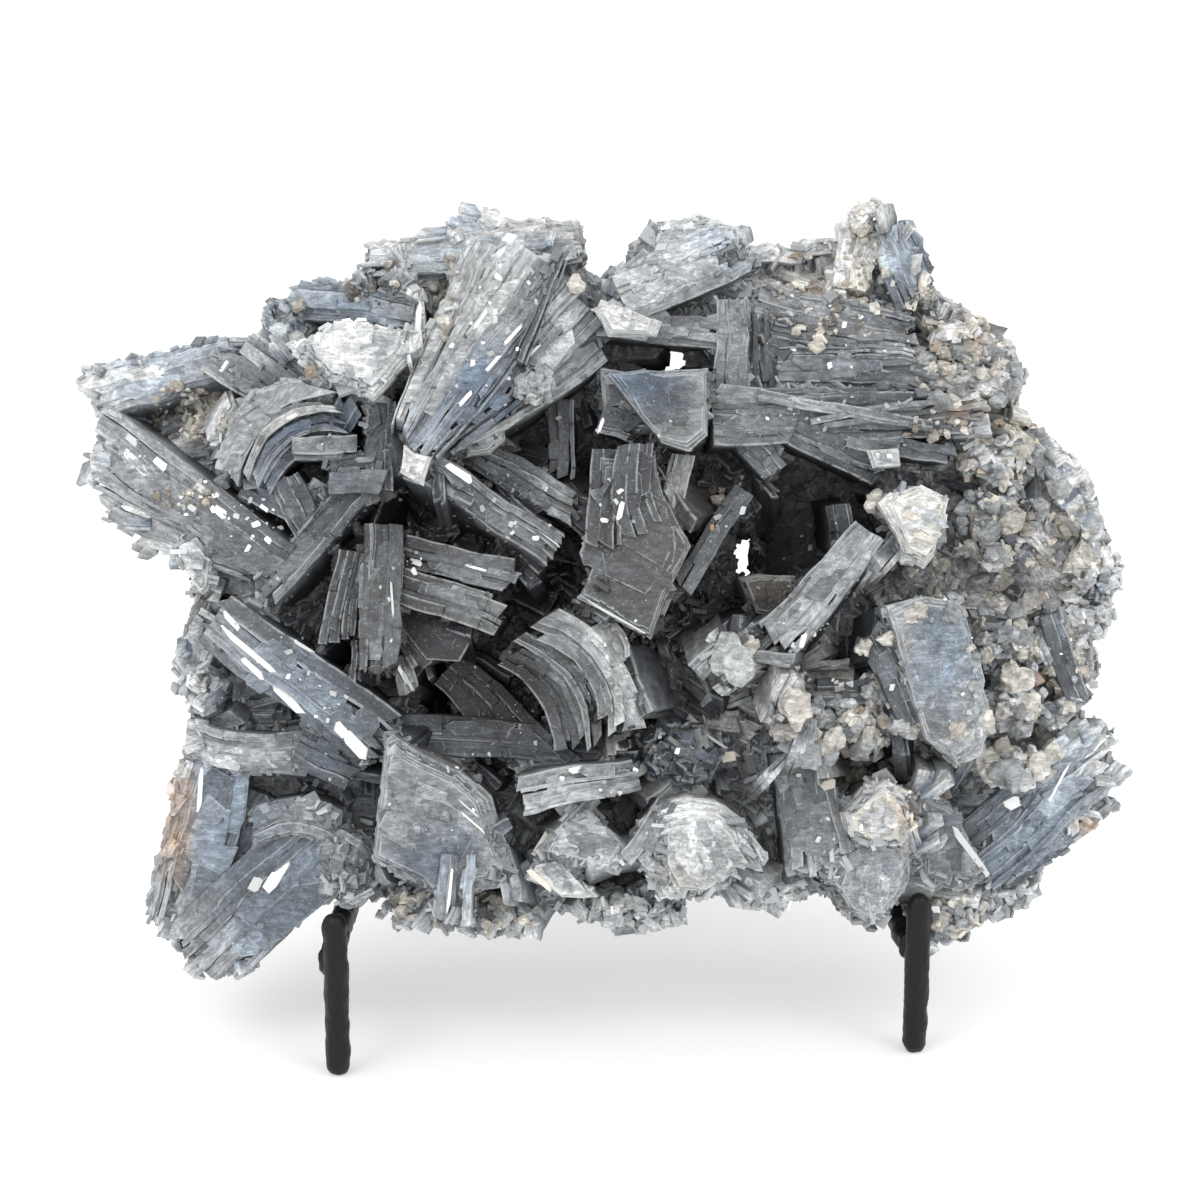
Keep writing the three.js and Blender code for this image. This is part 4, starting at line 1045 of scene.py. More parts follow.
stack((-15, -5, 23), (5.5, -34, 22), 5, 26, "grey mist pale", bow=5, plates=2, end="slant")
stack((-14, -9, 23), (2, -30, 24), 4, 26, "mist grey mist", bow=3.5, plates=1, end="round")
stack((-20, -9, 21), (0, -37, 20), 5, 24, "grey grey mist", bow=5, plates=2, end="round")
stack((-21, -13, 20), (-4.5, -37, 19), 4.5, 22, "slate grey grey", bow=4.5, plates=2, end="slant")
stack((-24, -15, 18), (-9, -37, 17), 5, 22, "dark slate grey", bow=4, plates=2, end="round")
stack((0, -5, 22), (6, -17, 24), 6, 26, "mist pale", bow=1.5, plates=2, end="round")
stack((-38, -17, 5), (-17, -38, 6), 12, 34, "dark dark slate", plates=4)
stack((-51, -33, 10), (10, -38, 10), 10, 20, "slate slate slate")
stack((-50, -14, 9), (-48, -23, 11), 5, 16, "grey pale mist")
part.piece()

# Crystals at the lower left
# A long blue stack with mirror-bright strips, curved plates under it, and two drooping lobes
# of bluish plates with pale, almost clear ends.

part, stack, slab, rosette = crystals("lower_left", 16)
stack((-96, -5, 16), (-54, -36, 18), 15.5, 26, "grey blue slate", slip=0.2)
stack((-104, -34, 8), (-66, -36, 12), 10, 22, "mist grey grey", bow=-3)
stack((-97, -1, 5), (-103.5, -20, 2), 8, 16, "grey mist ice")
rosette((-100, -22, 3), (5.5, 6, 7), "ice mist")
stack((-76, -36, 14), (-60, -44, 14), 9, 20, "slate navy slate")
stack((-95, -38, 7), (-106, -85, 4), 18, 24, "blue blue mist", end="round", cut=0.25)
stack((-82, -50, 3), (-104, -88, 0), 14, 20, "slate blue mist")
stack((-69, -60, 10), (-104, -93, 4), 21, 24, "blue blue mist", end="round", cut=0.3)
stack((-87, -58, 13), (-64, -58, 13), 10, 22, "blue grey grey", bow=4)
rosette((-63, -66, 9), (8, 9.5, 11), "mist grey", count=40)
slab([(-52, -33), (-36, -42.5), (-27.5, -49.5), (-21, -67.5), (-24, -72.5), (-40, -76), (-57, -65.5),
      (-55.5, -50), (-54, -35)], 28, 36, "grey mist", slope=(-0.12, 0.1), ledges=3, shrink=0.1,
     towards=(-6, -2), blush=("blue", (-40, -62), (14, 12)))
stack((-36, -64, 28), (-37, -83.5, 25), 9, 24, "blue sky mist", end="round", cut=0.3)
rosette((-43, -76, 8), (12, 6, 12), "mist sand grey", count=50)
rosette((-25, -78, 4), (11, 6.5, 12), "mist sand grey", count=50)
part.piece()

# Crystals along the bottom
# A pale bar, stepped plates with white edges, and the large smooth cream plate.

part, stack, slab, rosette = crystals("bottom", 17)
stack((9, -43.5, 28), (-20.5, -49, 30), 8.5, 28, "slate mist mist", slip=0.1, plates=5)
slab([(-10, -54), (-3, -52), (8, -63), (5, -70), (-17, -64)], 26, 30, "grey mist", slope=(0.1, 0))
slab([(-17, -66), (-10, -65), (0, -74), (-10, -74.5), (-19, -70)], 22, 28, "mist pale", ledges=2)
slab([(9, -56), (12.5, -52), (22, -50), (30, -51), (36, -55), (43, -65), (41, -69), (35, -71),
      (25, -75.5), (14, -75), (10, -66)], 27, 34, "mist pale", slope=(0, -0.08), shrink=0.18, towards=(4,
     -4))
rosette((8, -76, 6), (14, 5.5, 12), "mist pale grey", count=60)
rosette((42, -71, 5), (11, 5, 11), "mist pale grey", count=50)
rosette((20, -38, 8), (13, 9, 10), "dark slate navy", count=60)
part.piece()

# Crystals at the lower right
# A striated stack, round-edged plates, a broad blue-grey wedge, and long blue blades that
# stand out at the rim.

part, stack, slab, rosette = crystals("lower_right", 18)
stack((50, -38, 16), (55, -69, 18), 15, 26, "grey slate mist")
slab([(59, -60), (66, -58), (78, -60), (79, -66), (76, -75), (72, -81), (67, -83), (61, -80), (57, -72)],
     15, 28, "lilac mist", slope=(-0.1, 0.05))
slab([(61, -54), (66, -48), (72, -44.5), (78, -48), (79, -57), (75, -62), (68, -63), (62, -60)], 27, 32,
     "mist cream", slope=(0.05, 0.1), towards=(-1, -1), ragged=0.6)
rosette((49, -28, 16), (6.5, 6.5, 9), "grey mist", count=18)
rosette((51, -36, 16), (7, 5, 9), "grey mist sand", count=18)
rosette((65, -32, 10), (10, 7.5, 10), "sand mist tan slate", count=60)
stack((43.5, -20.5, 12), (51, -20, 14), 6, 18, "white white pale", plates=4)
stack((54, -23, 14), (71, -23, 14), 6.5, 18, "dark dark slate", plates=4)
slab([(71, -2), (80, 1), (90, 0), (93, -8), (99, -30), (97, -38), (90, -42), (82, -35), (78, -24)], 25,
     36, "grey mist", slope=(0.1, 0.08), ledges=2, shrink=0.12, towards=(-3, 4), blush=("blue", (82, -12),
     (12, 16)))
stack((68, -8, 18), (80, -31, 22), 8, 26, "slate slate slate")
stack((113, -4, 8), (120, -26, 8), 5.5, 18, "slate dark slate")
stack((121, -23, 8), (113, -31, 8), 5, 18, "slate mist mist")
rosette((104, -42, 7), (9, 4.5, 8), "cream pale", count=40)
stack((90, -62, 4), (128, -29, 2), 9, 22, "slate blue ice", end="slant")
stack((96, -69, 4), (131, -37, 2), 10, 22, "blue blue ice", end="slant")
stack((97, -72, 2), (127, -47, 0), 9, 20, "slate blue mist")
stack((92, -71, 0), (112, -73, 0), 8.5, 18, "mist mist pale", end="back")
slab([(79, -45), (88, -50), (98, -70), (92, -73), (80, -72)], 12, 24, "slate grey", slope=(0.15, 0))
rosette((86, -78, -2), (10, 6.5, 10), "sand grey mist", count=50)
rosette((97, -74, -3), (7, 6, 9), "mist grey", count=40)
part.piece()

# Crystals between
# The gaps between the large crystals are full of smaller blades that lie much as their
# neighbours do, and short pale blades stand out along the rim.

BETWEEN_SPACING = 4.4
GAP_ROOM = 2.0
MARGIN = 1.5  # mm that the small blades stay inside the outline
SANDY_LOOKS = ("sand cream", "mist cream", "mist pale", "grey mist")
RIM_SPACING = 2.3
rock_tree = BVHTree.FromPolygons(*solid_faces(rock))
rod_spots, rod_faces = [], []
for rod in RODS:
    spots, faces = solid_faces(bpy.data.objects[rod + "_coated"].data)
    rod_faces += [tuple(k + len(rod_spots) for k in face) for face in faces]
    rod_spots += spots
rod_tree = BVHTree.FromPolygons(rod_spots, rod_faces)
grown_trees = [BVHTree.FromPolygons(*solid_faces(mesh)) for mesh in grown]


def land(x, y, trees=None):
    """What the eye meets at a place on the face: the place, the way it faces, and whether it is bare rock."""
    way = (Vector(to_world((x, y, 0))) - eye).normalized()
    best, bare = None, True
    for tree in trees or [rock_tree, *grown_trees]:
        spot, normal, _, distance = tree.ray_cast(eye, way)
        if spot is not None and (best is None or distance < best[2]):
            best, bare = (to_face(spot), FACE_AXES @ np.array(normal), distance), tree is rock_tree
    return (best[0], best[1], bare) if best else (None, None, False)


def neighbour(x, y):
    """The direction and look of the long crystal that lies nearest."""
    away = [(x - run[0]) ** 2 + (y - run[1]) ** 2 for run in runs]
    return runs[int(np.argmin(away))][2:]


SHADED_TONE = {"white": "pale", "pale": "mist", "mist": "grey", "grey": "slate", "slate": "dark", "dark": "dark",
          "ice": "sky", "sky": "blue", "blue": "navy", "navy": "dark", "deep": "navy", "cream": "sand",
          "sand": "tan", "tan": "brown", "brown": "brown", "lilac": "grey", "orange": "tan"}
between = Shells("crystals_between", 19)
draw = between.random.uniform
for x in np.arange(-130, 130, BETWEEN_SPACING):
    for y in np.arange(-100, 102, BETWEEN_SPACING):
        px, py = x + draw(-2.5, 2.5), y + draw(-2.5, 2.5)
        spot, normal, bare = land(px, py)
        if spot is None or not bare or spot[2] < -20:
            continue
        angle, look = neighbour(spot[0], spot[1])
        angle += between.random.normal(0, 0.5)
        sandy = sandiness(spot[None])[0]
        heart = soft_spot(spot[None], *SHADED_MIDDLE)[0]
        length, breadth = draw(8, 19) * (1 - 0.45 * sandy), draw(2.5, 6.5) * (1 - 0.4 * sandy)
        way = np.array((math.cos(angle), math.sin(angle)))
        root = np.array((*(spot[:2] - way * length * 0.35), spot[2] - draw(0.5, 3)))
        tip = np.array((*(spot[:2] + way * length * 0.65), spot[2] + draw(1, 6)))
        # in the hollow middle the tones step darker, as painted shade
        words = [SHADED_TONE[word] if draw(0, 1) < 1.4 * heart else word for word in look.split()]
        words = [SHADED_TONE[word] if draw(0, 1) < 1.4 * heart - 0.4 else word for word in words]
        if draw(0, 1) < sandy * (1 - heart):
            words = SANDY_LOOKS[int(draw(0, len(SANDY_LOOKS)))].split()
        root[:2] /= near(root[2])
        tip[:2] /= near(tip[2])
        if min(np.hypot(*(spot[:2] - gap[:2])) for gap in GAPS) < GAP_ROOM + 0.5 * length:
            continue
        if any(land(*(end[:2] * (1 + MARGIN / np.hypot(*end[:2]))))[0] is None for end in (root, tip)):
            continue
        end = tuple(ENDS)[int(draw(0, len(ENDS)))]
        between.stack(root, tip, breadth, draw(8, 12), " ".join(words), end=end, roll=draw(-35, 35),
                      record=False)
between.piece()

rim = Shells("crystals_rim", 20)
draw = rim.random.uniform
PALE_LOOKS = ("mist pale", "sky ice", "mist ice", "grey pale", "blue ice")
for step in np.arange(0, 2 * math.pi, RIM_SPACING / 110):
    way = np.array((math.cos(step), math.sin(step)))
    inner, outer = 30.0, 150.0
    for _ in range(9):  # halves the span until the outline is found
        half_way = (inner + outer) / 2
        spot, _, _ = land(*(way * half_way))
        inner, outer = (half_way, outer) if spot is not None else (inner, half_way)
    spot, _, _ = land(*(way * (inner - 0.6)))
    if spot is None:
        continue
    angle = step + rim.random.normal(0, 0.6)
    out = np.array((math.cos(angle), math.sin(angle)))
    length = draw(3, 8)
    beyond = draw(-0.8, 1.2)
    tip = np.array((*(spot[:2] + out * beyond), spot[2] + draw(-2, 2)))
    root = np.array((*(tip[:2] - out * length), tip[2] - draw(-2, 3)))
    looks = SANDY_LOOKS if sandiness(spot[None])[0] > 0.4 else PALE_LOOKS
    root[:2] /= near(root[2])
    tip[:2] /= near(tip[2])
    if land(*root[:2])[0] is None:
        continue
    rim.stack(root, tip, draw(1.2, 3.2), draw(3, 7), looks[int(draw(0, len(looks)))], roll=draw(-50, 50),
              end="slant" if draw(0, 1) < 0.5 else "round", record=False)
rim.piece()

# Crystals at the back
# Broken packets of plates lie against the back at all angles, duller than those in front.

BACK_PACKETS = 150
ROD_ROOM = 9
back = Shells("crystals_back", 24)
draw = back.random.uniform
for _ in range(BACK_PACKETS):
    start = Vector(to_world((draw(-118, 118), draw(-84, 84), -300)))
    spot, normal, _, _ = rock_tree.ray_cast(start, Vector(FACE_AXES[2]))
    if spot is None:
        continue
    spot, normal = to_face(spot), FACE_AXES @ np.array(normal)
    if rod_tree.find_nearest(Vector(to_world(spot)), ROD_ROOM * MM)[0] is not None:
        continue
    facing = unit(normal + back.random.normal(0, 0.45, 3))
    way = unit(np.cross(facing, back.random.normal(0, 1, 3)))
    length, width, count = draw(7, 20), draw(4, 9), int(draw(3, 7))
    levels = np.arange(count)[:, None]
    middles = spot + facing * (1.5 * levels - 1.3 * count) + way * back.random.normal(0, 1.2, (count, 1))
    sizes = np.array((length, width, 1.6)) * draw(0.7, 1.05, (count, 3))
    back.tablets(middles, np.tile(way, (count, 1)), np.tile(facing, (count, 1)), sizes,
                 back.tones_of("grey slate mist sand grey", 1).repeat(count, axis=0))
back.piece(bent=False)

# Druse and sand
# Everything that lies bare between the crystals is crusted: with fine upright plates of barite,
# and at the right and the upper left with cream grains and crumbs. The crystals wear a frost of
# tiny plates, and flat scales where they face outwards.

COVER = 5.0  # mm that a crystal may stand over the rock that it covers
CRUST_DENSITY = 2.5e6  # per square metre, where the least distance allows it
BACK_BEGINS = -24  # mm behind the face
HALF_SIZE = (130, 96)
CRUSTS = (
    # name, template, mask, least distance, smallest and largest scale, tilt, seed
    ("druse_left", "plate", "druse_left", 1.15, 1.0, 2.8, 1.25, 41),
    ("druse_right", "plate", "druse_right", 1.15, 1.0, 2.8, 1.25, 45),
    ("druse_back", "plate", "druse_back", 1.7, 1.5, 3.4, 1.25, 46),
    ("coarse_druse", "plate", "druse", 3.2, 2.6, 5.4, 1.2, 42),
    ("sand_grains", "grain", "sand", 0.95, 0.6, 1.5, 3.1, 43),
    ("crumbs", "grain", "sand", 2.3, 1.3, 3.4, 3.1, 44),
)


def covered(spot, way):
    """Whether a place on the rock lies inside a crystal, or close under one."""
    for tree in grown_trees:
        _, normal, _, distance = tree.ray_cast(spot + way * 0.05 * MM, way, COVER * MM)
        if normal is not None and (normal.dot(way) > 0 or distance < 0.4 * COVER * MM):
            return True
    return False


def masked(mesh, name, values):
    """Says on a mesh how thick its crust is from place to place."""
    mesh.attributes.new(name, "FLOAT", "POINT").data.foreach_set("value", values.astype(np.float32))


def lumps(spots, size, shift=(0, 0, 0)):
    return np.array([noise.noise(Vector(s) / size + Vector(shift)) for s in spots])


def template(kind):
    """An upright plate, a flat scale or a grain, about 1 mm across, for the crusts to repeat."""
    mesh = bpy.data.meshes.new(kind)
    if kind != "grain":
        outline = ((-0.46, -0.33), (0.36, -0.42), (0.48, 0.3), (-0.34, 0.42))
        order = (0, 2, 1) if kind == "plate" else (1, 0, 2)
        rings = [[tuple((x, y, h)[axis] * MM for axis in order) for x, y in outline] for h in (-0.12, 0.12)]
        faces = [(i, (i + 1) % 4, 4 + (i + 1) % 4, 4 + i) for i in range(4)] + [(3, 2, 1, 0), (4, 5, 6, 7)]
        mesh.from_pydata(rings[0] + rings[1], [], [tuple(reversed(face)) for face in faces])
    else:
        ball = bmesh.new()
        bmesh.ops.create_icosphere(ball, subdivisions=1, radius=0.5 * MM)
        for number, vert in enumerate(ball.verts):
            vert.co *= 0.8 + 0.3 * ((number * 7) % 5) / 5
        ball.to_mesh(mesh)
        ball.free()
    count = len(mesh.vertices)
    made = mesh.attributes.new("edge", "FLOAT_VECTOR", "POINT")
    made.data.foreach_set("vector", np.tile((0.35, 0, 0), count))
    return bpy.data.objects.new("template_" + kind, mesh)


def crust_tree(material):
    """Small crystals strewn over a ground, thickest where its mask is 1; they take its colour."""
    group = bpy.data.node_groups.new("crust", "GeometryNodeTree")
    sockets = (("Ground", "Geometry"), ("Crystal", "Object"), ("Mask", "String"), ("Least Distance", "Float"),
               ("Smallest", "Float"), ("Largest", "Float"), ("Tilt", "Float"), ("Seed", "Int"),
               ("Darkest", "Float"), ("Lightest", "Float"))
    for name, kind in sockets:
        group.interface.new_socket(name, in_out="INPUT", socket_type="NodeSocket" + kind)
    group.interface.new_socket("Crust", in_out="OUTPUT", socket_type="NodeSocketGeometry")
    tree = Tree(group)
    given = tree.node("NodeGroupInput")
    read = "GeometryNodeInputNamedAttribute"
    mask = tree.node(read, {"data_type": "FLOAT"}, {"Name": given.output("Mask")})
    tint = tree.node(read, {"data_type": "FLOAT_COLOR"}, {"Name": "tint"})
    strewn = tree.node("GeometryNodeDistributePointsOnFaces", {"distribute_method": "POISSON"}, {
        "Mesh": given, "Distance Min": given.output("Least Distance"), "Density Max": CRUST_DENSITY,
        "Density Factor": mask, "Seed": given.output("Seed")})
    tilt = given.output("Tilt")
    back = tree.node("ShaderNodeMath", {"operation": "MULTIPLY"}, {0: tilt, 1: -1})
    least = tree.node("ShaderNodeCombineXYZ", {}, {0: back, 1: back, 2: -math.pi})
    most = tree.node("ShaderNodeCombineXYZ", {}, {0: tilt, 1: tilt, 2: math.pi})
    turn = tree.node("FunctionNodeRandomValue", {"data_type": "FLOAT_VECTOR"},
                     {0: least, 1: most, "Seed": given.output("Seed")})
    turn = tree.node("FunctionNodeEulerToRotation", {}, {0: turn})
    facing = tree.node("FunctionNodeRotateRotation", {"rotation_space": "LOCAL"},
                       {0: strewn.output("Rotation"), 1: turn})
    small, large = given.output("Smallest"), given.output("Largest")
    size = tree.node("FunctionNodeRandomValue", {"data_type": "FLOAT"},
                     {2: small, 3: large, "Seed": given.output("Seed") + 7}, 1)
    crystal = tree.node("GeometryNodeObjectInfo", {}, {"Object": given.output("Crystal")}, "Geometry")
    placed = tree.node("GeometryNodeInstanceOnPoints", {},
                       {"Points": strewn, "Instance": crystal, "Rotation": facing, "Scale": size})
    chance = tree.node("FunctionNodeRandomValue", {"data_type": "FLOAT"},
                       {2: given.output("Darkest"), 3: given.output("Lightest"),
                        "Seed": given.output("Seed") + 13}, 1)
    shade = tree.node("ShaderNodeVectorMath", {"operation": "SCALE"}, {0: tint, "Scale": chance})
    shaded = tree.node("GeometryNodeStoreNamedAttribute", {"data_type": "FLOAT_COLOR", "domain": "INSTANCE"},
                       {"Geometry": placed, "Name": "tint", "Value": shade})
    whole = tree.node("GeometryNodeRealizeInstances", {}, {"Geometry": shaded})
    finished = tree.node("GeometryNodeSetMaterial", {}, {"Geometry": whole, "Material": material})
    tree.node("NodeGroupOutput", {}, {"Crust": finished})
    return group


def crusted(mesh, name, kind, mask, distance, small, large, tilt, seed, darkest=0.5, lightest=1.9):
    """A piece of its own, made of what is strewn over a mesh."""
    ground = bpy.data.objects.new(name + "_ground", mesh.copy())
    bpy.context.scene.collection.objects.link(ground)
    change = ground.modifiers.new("crust", "NODES")
    change.node_group = tree
    values = {"Crystal": templates[kind], "Mask": mask, "Least Distance": distance * MM, "Smallest": small,
              "Largest": large, "Tilt": tilt, "Seed": seed, "Darkest": darkest, "Lightest": lightest}
    for label, value in values.items():
        change[sockets[label]] = value
    made = evaluated(ground)
    ground.modifiers.clear()
    bpy.data.objects.remove(ground)
    if len(made.vertices):
        shown(name, made, barite_finish, smooth=False)


tree = crust_tree(barite_finish)
sockets = {item.name: item.identifier for item in tree.interface.items_tree if item.in_out == "INPUT"}
templates = {kind: template(kind) for kind in ("plate", "scale", "grain")}
sandy = sandiness(on_face)
broken = lumps(on_face, 9)
facing = spots_of(rock, "normal")
bared = np.array([not covered(Vector(s), Vector(n)) for s, n in zip(spots_of(rock), facing)])
seen_at = on_face[:, :2] / near(on_face[:, 2:])
bared = bared * np.all([np.hypot(*((seen_at - gap[:2]) / gap[2:]).T) > 1.35 for gap in GAPS], axis=0)
masks = {"druse": bared * np.clip(1.1 - 0.8 * sandy + broken, 0, 1),
         "sand": bared * np.clip(1.9 * sandy - 0.2 + broken, 0, 1)}
behind = on_face[:, 2] < BACK_BEGINS
patchy = np.clip(2.5 * lumps(on_face, 17, (3, 5, 7)) + 0.45, 0, 1)
masks["druse_back"] = masks["druse"] * behind * patchy
masks["druse"] = masks["druse"] * np.where(behind, patchy, 1)
masks["druse_left"] = masks["druse"] * ~behind * (on_face[:, 0] < -10)
masks["druse_right"] = masks["druse"] * ~behind * (on_face[:, 0] >= -10)
for name, values in masks.items():
    masked(rock, name, values)
for crust in CRUSTS:
    crusted(rock, *crust)
for number, mesh in enumerate(grown[:8]):
    spots = spots_of(mesh)
    patches = np.clip(3 * lumps(spots, 7 * MM) + 0.2, 0, 1)
    ahead = spots_of(mesh, "normal") @ FACE_AXES[2] > 0.5
    masked(mesh, "frosted", 0.2 * patches * ahead)
    crusted(mesh, mesh.name.replace("crystals", "frost"), "plate", "frosted", 0.8, 0.5, 1.3, 0.9, 50 + number)
    outward = spots_of(mesh, "normal") @ FACE_AXES.T
    flat = to_face(spots)
    radial = flat[:, :2] / HALF_SIZE
    far = np.linalg.norm(radial, axis=1)
    flank = (outward[:, 2] < 0.5) * (far > 0.75) * ((outward[:, :2] * radial).sum(axis=1) > 0.3 * far)
    # outward flanks lose their depth value, so the painted shade of recesses leaves them pale
    edges = np.empty(len(spots) * 3, np.float32)
    mesh.attributes["edge"].data.foreach_get("vector", edges)
    edges[1::3] *= 1 - flank
    mesh.attributes["edge"].data.foreach_set("vector", edges)
    masked(mesh, "flank", flank)
    crusted(mesh, mesh.name.replace("crystals", "flank"), "scale", "flank", 1.7, 1.5, 3.8, 0.4, 70 + number,
            darkest=0.7, lightest=1.3)
for body in templates.values():
    bpy.data.objects.remove(body)

# Painted glints, pebbles and crumbs
# Where a cleavage face would mirror the lamps, a thin white glossy tablet paints the highlight on it,
# and small white chips paint sparkles. Rounded cream pebbles and brown crumbs of the matrix lie in
# the notches and all over the sandy side.

# Painted glints: thin white tablets, lighter than white by GLINT_LIGHT and glossy, paint the highlight where
# a cleavage face mirrors a lamp.
GLINT_LIGHT = 1.3
GLINT_THICK = 1.6
GLINT_PROUD = 0.45  # mm that a painted glint stands out of its crystal
GLINTS = (
    # x, y, length, width, direction, and the tone where it isn't white
    (-35.2, 31.8, 8.5, 2.0, -32), (-27.2, 28.2, 4.5, 1.7, -32), (-18.8, 22.5, 6, 1.7, -38),
    (-13.2, 15.8, 9, 0.8, -36), (-31, 8, 5.8, 0.8, -15), (-46, 9.5, 3.5, 1.6, -20),
    (-42, 18.5, 3.2, 1.8, 0), (-49.4, -18.6, 6, 1.1, -60), (-48, -20.4, 5.5, 0.9, -60, "pale"),
    (0.2, 43.5, 4.8, 1, 70), (5, 27.2, 2, 1.2, 40), (5.2, 22.2, 5.5, 1.5, 78),
    (57.8, -17.2, 4.5, 2.4, 20), (50.8, -10.2, 4.5, 1.4, 75), (63.6, 1.2, 8, 1.2, -62),
    (65.4, 0.2, 8.5, 1.1, -62, "lilac"), (67, -0.9, 7.5, 1.2, -62), (31.8, -10.5, 3.4, 1.8, 20),
    (2.2, -15.2, 3, 2.9, 40), (22.5, -8, 4, 2.2, 25), (23, -15.2, 2.5, 1.5, -30),
    (-5.5, -42.5, 5, 1.9, 12), (-92.2, -5.2, 6.4, 1.5, -45), (-88, -12.5, 21, 1.6, -40),
    (-87, -17, 8.5, 1.5, -42), (-78.5, -24.2, 12, 2.5, -46), (-74, -11.8, 7.3, 1, -31, "pale"),
    (-64.8, -32.5, 4.5, 2.6, -50), (-61, -36.5, 8.5, 3.4, -50), (-33.2, -41.2, 4, 1.8, 5),
    (-86, 19, 2.6, 1.6, 20), (-83, 15, 2.2, 1.4, -40), (-88, 13, 2.4, 1.2, 60),
    (-91, 21, 2, 1.3, -20, "pale"), (-80, 18, 1.8, 1.2, 10), (-84, 23, 3, 1.2, -35),
    (-117, 40, 4, 2, -38, "pale"), (-110, 34, 4.5, 2, -38), (-100, 28, 3.5, 1.8, -38, "pale"),
    (-95, 22, 4, 2.2, -38), (-102, 23, 3, 1.6, -38, "pale"), (-80.8, -68.5, 10.5, 3.2, 58),
    (-100, -47.5, 12, 1.2, 86), (-86, -71, 4.5, 2.6, 60, "pale"), (103.2, -50.8, 4.2, 3.6, 30),
    (113.8, -47.5, 16, 0.7, 62), (124.2, -36.8, 9, 0.7, 46), (92.8, -63, 16, 1.8, -53, "pale"),
    (84, -77.5, 2.5, 2, 0), (-13.8, -59.5, 12, 1.8, 58, "cream"), (-15, -70, 9, 1.8, -40, "cream"),
    (33.8, -33.8, 16, 0.8, -33), (30.4, -36.2, 12, 0.8, -33, "pale"), (24.5, -32.5, 9, 3.2, -45, "mist"),
    (32, -39.2, 5, 2.8, 10, "sand"), (37.2, -52.5, 6, 1.5, 15), (10.2, -42.5, 4.2, 2.6, 30, "pale"),
    (7.8, -50.8, 4.2, 2.6, -20, "pale"), (72.5, 36, 1.6, 1.1, 0), (-37.5, -72.5, 12, 0.8, 84),
    (-33, -52, 8, 0.5, -41, "pale"), (-31.8, -55.6, 9, 0.5, -41), (17.8, 1.5, 20, 1.4, 68, "mist"),
    (4, -4.2, 18, 0.7, -29, "pale"), (57, -46.2, 4, 2.6, 15, "sand"), (-22, 66, 9, 1.1, 48),
    (-27, 59, 7, 1, 50), (-17, 62, 6, 0.9, 44, "pale"), (-30, 70, 6, 0.9, 55), (-45.5, 68, 13, 1.6, 88),
    (-34, 50, 6, 1.2, 50), (-70, -1, 4, 0.9, 55, "pale"), (-52, 0, 10, 0.7, -86, "pale"),
    (47.5, -20.8, 5.4, 3.2, 10), (70, 22, 2.6, 1.6, 30),
)
# Painted sparkles: small white glossy chips strewn over ovals.
SPARKLES = (
    # middle and half widths, how many
    ((-86, 19), (7, 7), 26), ((-98, 25), (8, 5), 12), ((-47, 18), (3, 3), 6), ((-45, 9), (4, 3), 6),
    ((-19, 23), (11, 9), 26), ((2, 24), (4, 9), 8), ((8, -14), (8, 6), 8), ((16, -10), (14, 8), 16),
    ((22, -17), (12, 6), 12), ((32, 26), (6, 8), 10), ((46, 12), (7, 6), 8), ((57, -12), (9, 9), 22),
    ((50, -17), (6, 4), 8), ((-30, 62), (14, 20), 36), ((-22, 70), (8, 14), 20), ((-118, 38), (8, 8), 12),
    ((-78, -17), (8, 8), 14), ((-68, -27), (8, 6), 12), ((-30, -41), (8, 3), 8), ((60, 72), (30, 16), 30),
    ((104, -10), (20, 40), 40), ((30, -54), (18, 12), 12), ((64, 48), (32, 6), 24),
    ((10, -38), (14, 6), 8), ((62, -60), (14, 14), 10), ((0, 0), (100, 70), 40),
)
PEBBLES = (
    # x, y, radius, tone
    (-90.5, 64.5, 3.3, "cream"), (-62, 77.5, 2.0, "brown"), (-57.5, 77.5, 1.8, "brown"),
    (-53, 84, 1.9, "cream"), (-37.5, 85.5, 1.9, "cream"), (-42, 79.5, 2.0, "cream"),
    (-41.2, 74.5, 1.8, "cream"), (-38.8, 68.8, 2.1, "cream"), (-16.2, 53.8, 2.4, "mist"),
    (-6.2, 78.8, 2.3, "cream"), (-76, 73, 1.9, "sand"), (-72, 57.5, 1.6, "tan"), (24.2, 25, 1.9, "sand"),
    (23.5, 17.5, 1.9, "sand"), (28, 28, 2.3, "tan"), (30.5, 24.5, 1.8, "sand"), (83, 41, 1.6, "sand"),
    (78, 8, 2.2, "cream"), (84, 11, 2.0, "cream"), (66, -12, 2.6, "cream"), (72, -10, 2.3, "cream"),
    (62, -16, 2.0, "sand"), (110.5, 75, 1.5, "pale"), (42, -18, 2.2, "cream"), (33.6, -14.8, 5.2, "pale"),
    (37.5, -11.5, 3.2, "cream"), (49, -27, 4.2, "cream"), (54, -31, 3.5, "mist"),
    (46.5, -33, 3.2, "cream"), (52, -38, 3.6, "mist"), (57.5, -35, 3.0, "cream"), (69, 24, 3.0, "cream"),
    (87, 23, 3.4, "mist"), (85, 9, 2.8, "cream"), (97, -42, 3.6, "cream"), (103, -43, 3.8, "mist"),
    (109, -41, 3.2, "cream"), (60, -27, 3.2, "mist"), (64, -31, 2.6, "cream"), (92, -46, 2.8, "mist"),
    (95, 4, 3.2, "mist"), (99, -1, 2.8, "cream"), (88, -3, 2.6, "mist"), (110, 22, 3.4, "mist"),
    (101, 30, 3.0, "cream"), (106, 8, 3.4, "mist"), (104, -20, 3.2, "cream"), (97, 44, 3.0, "mist"),
    (64.5, -45, 2.6, "sand"),
)
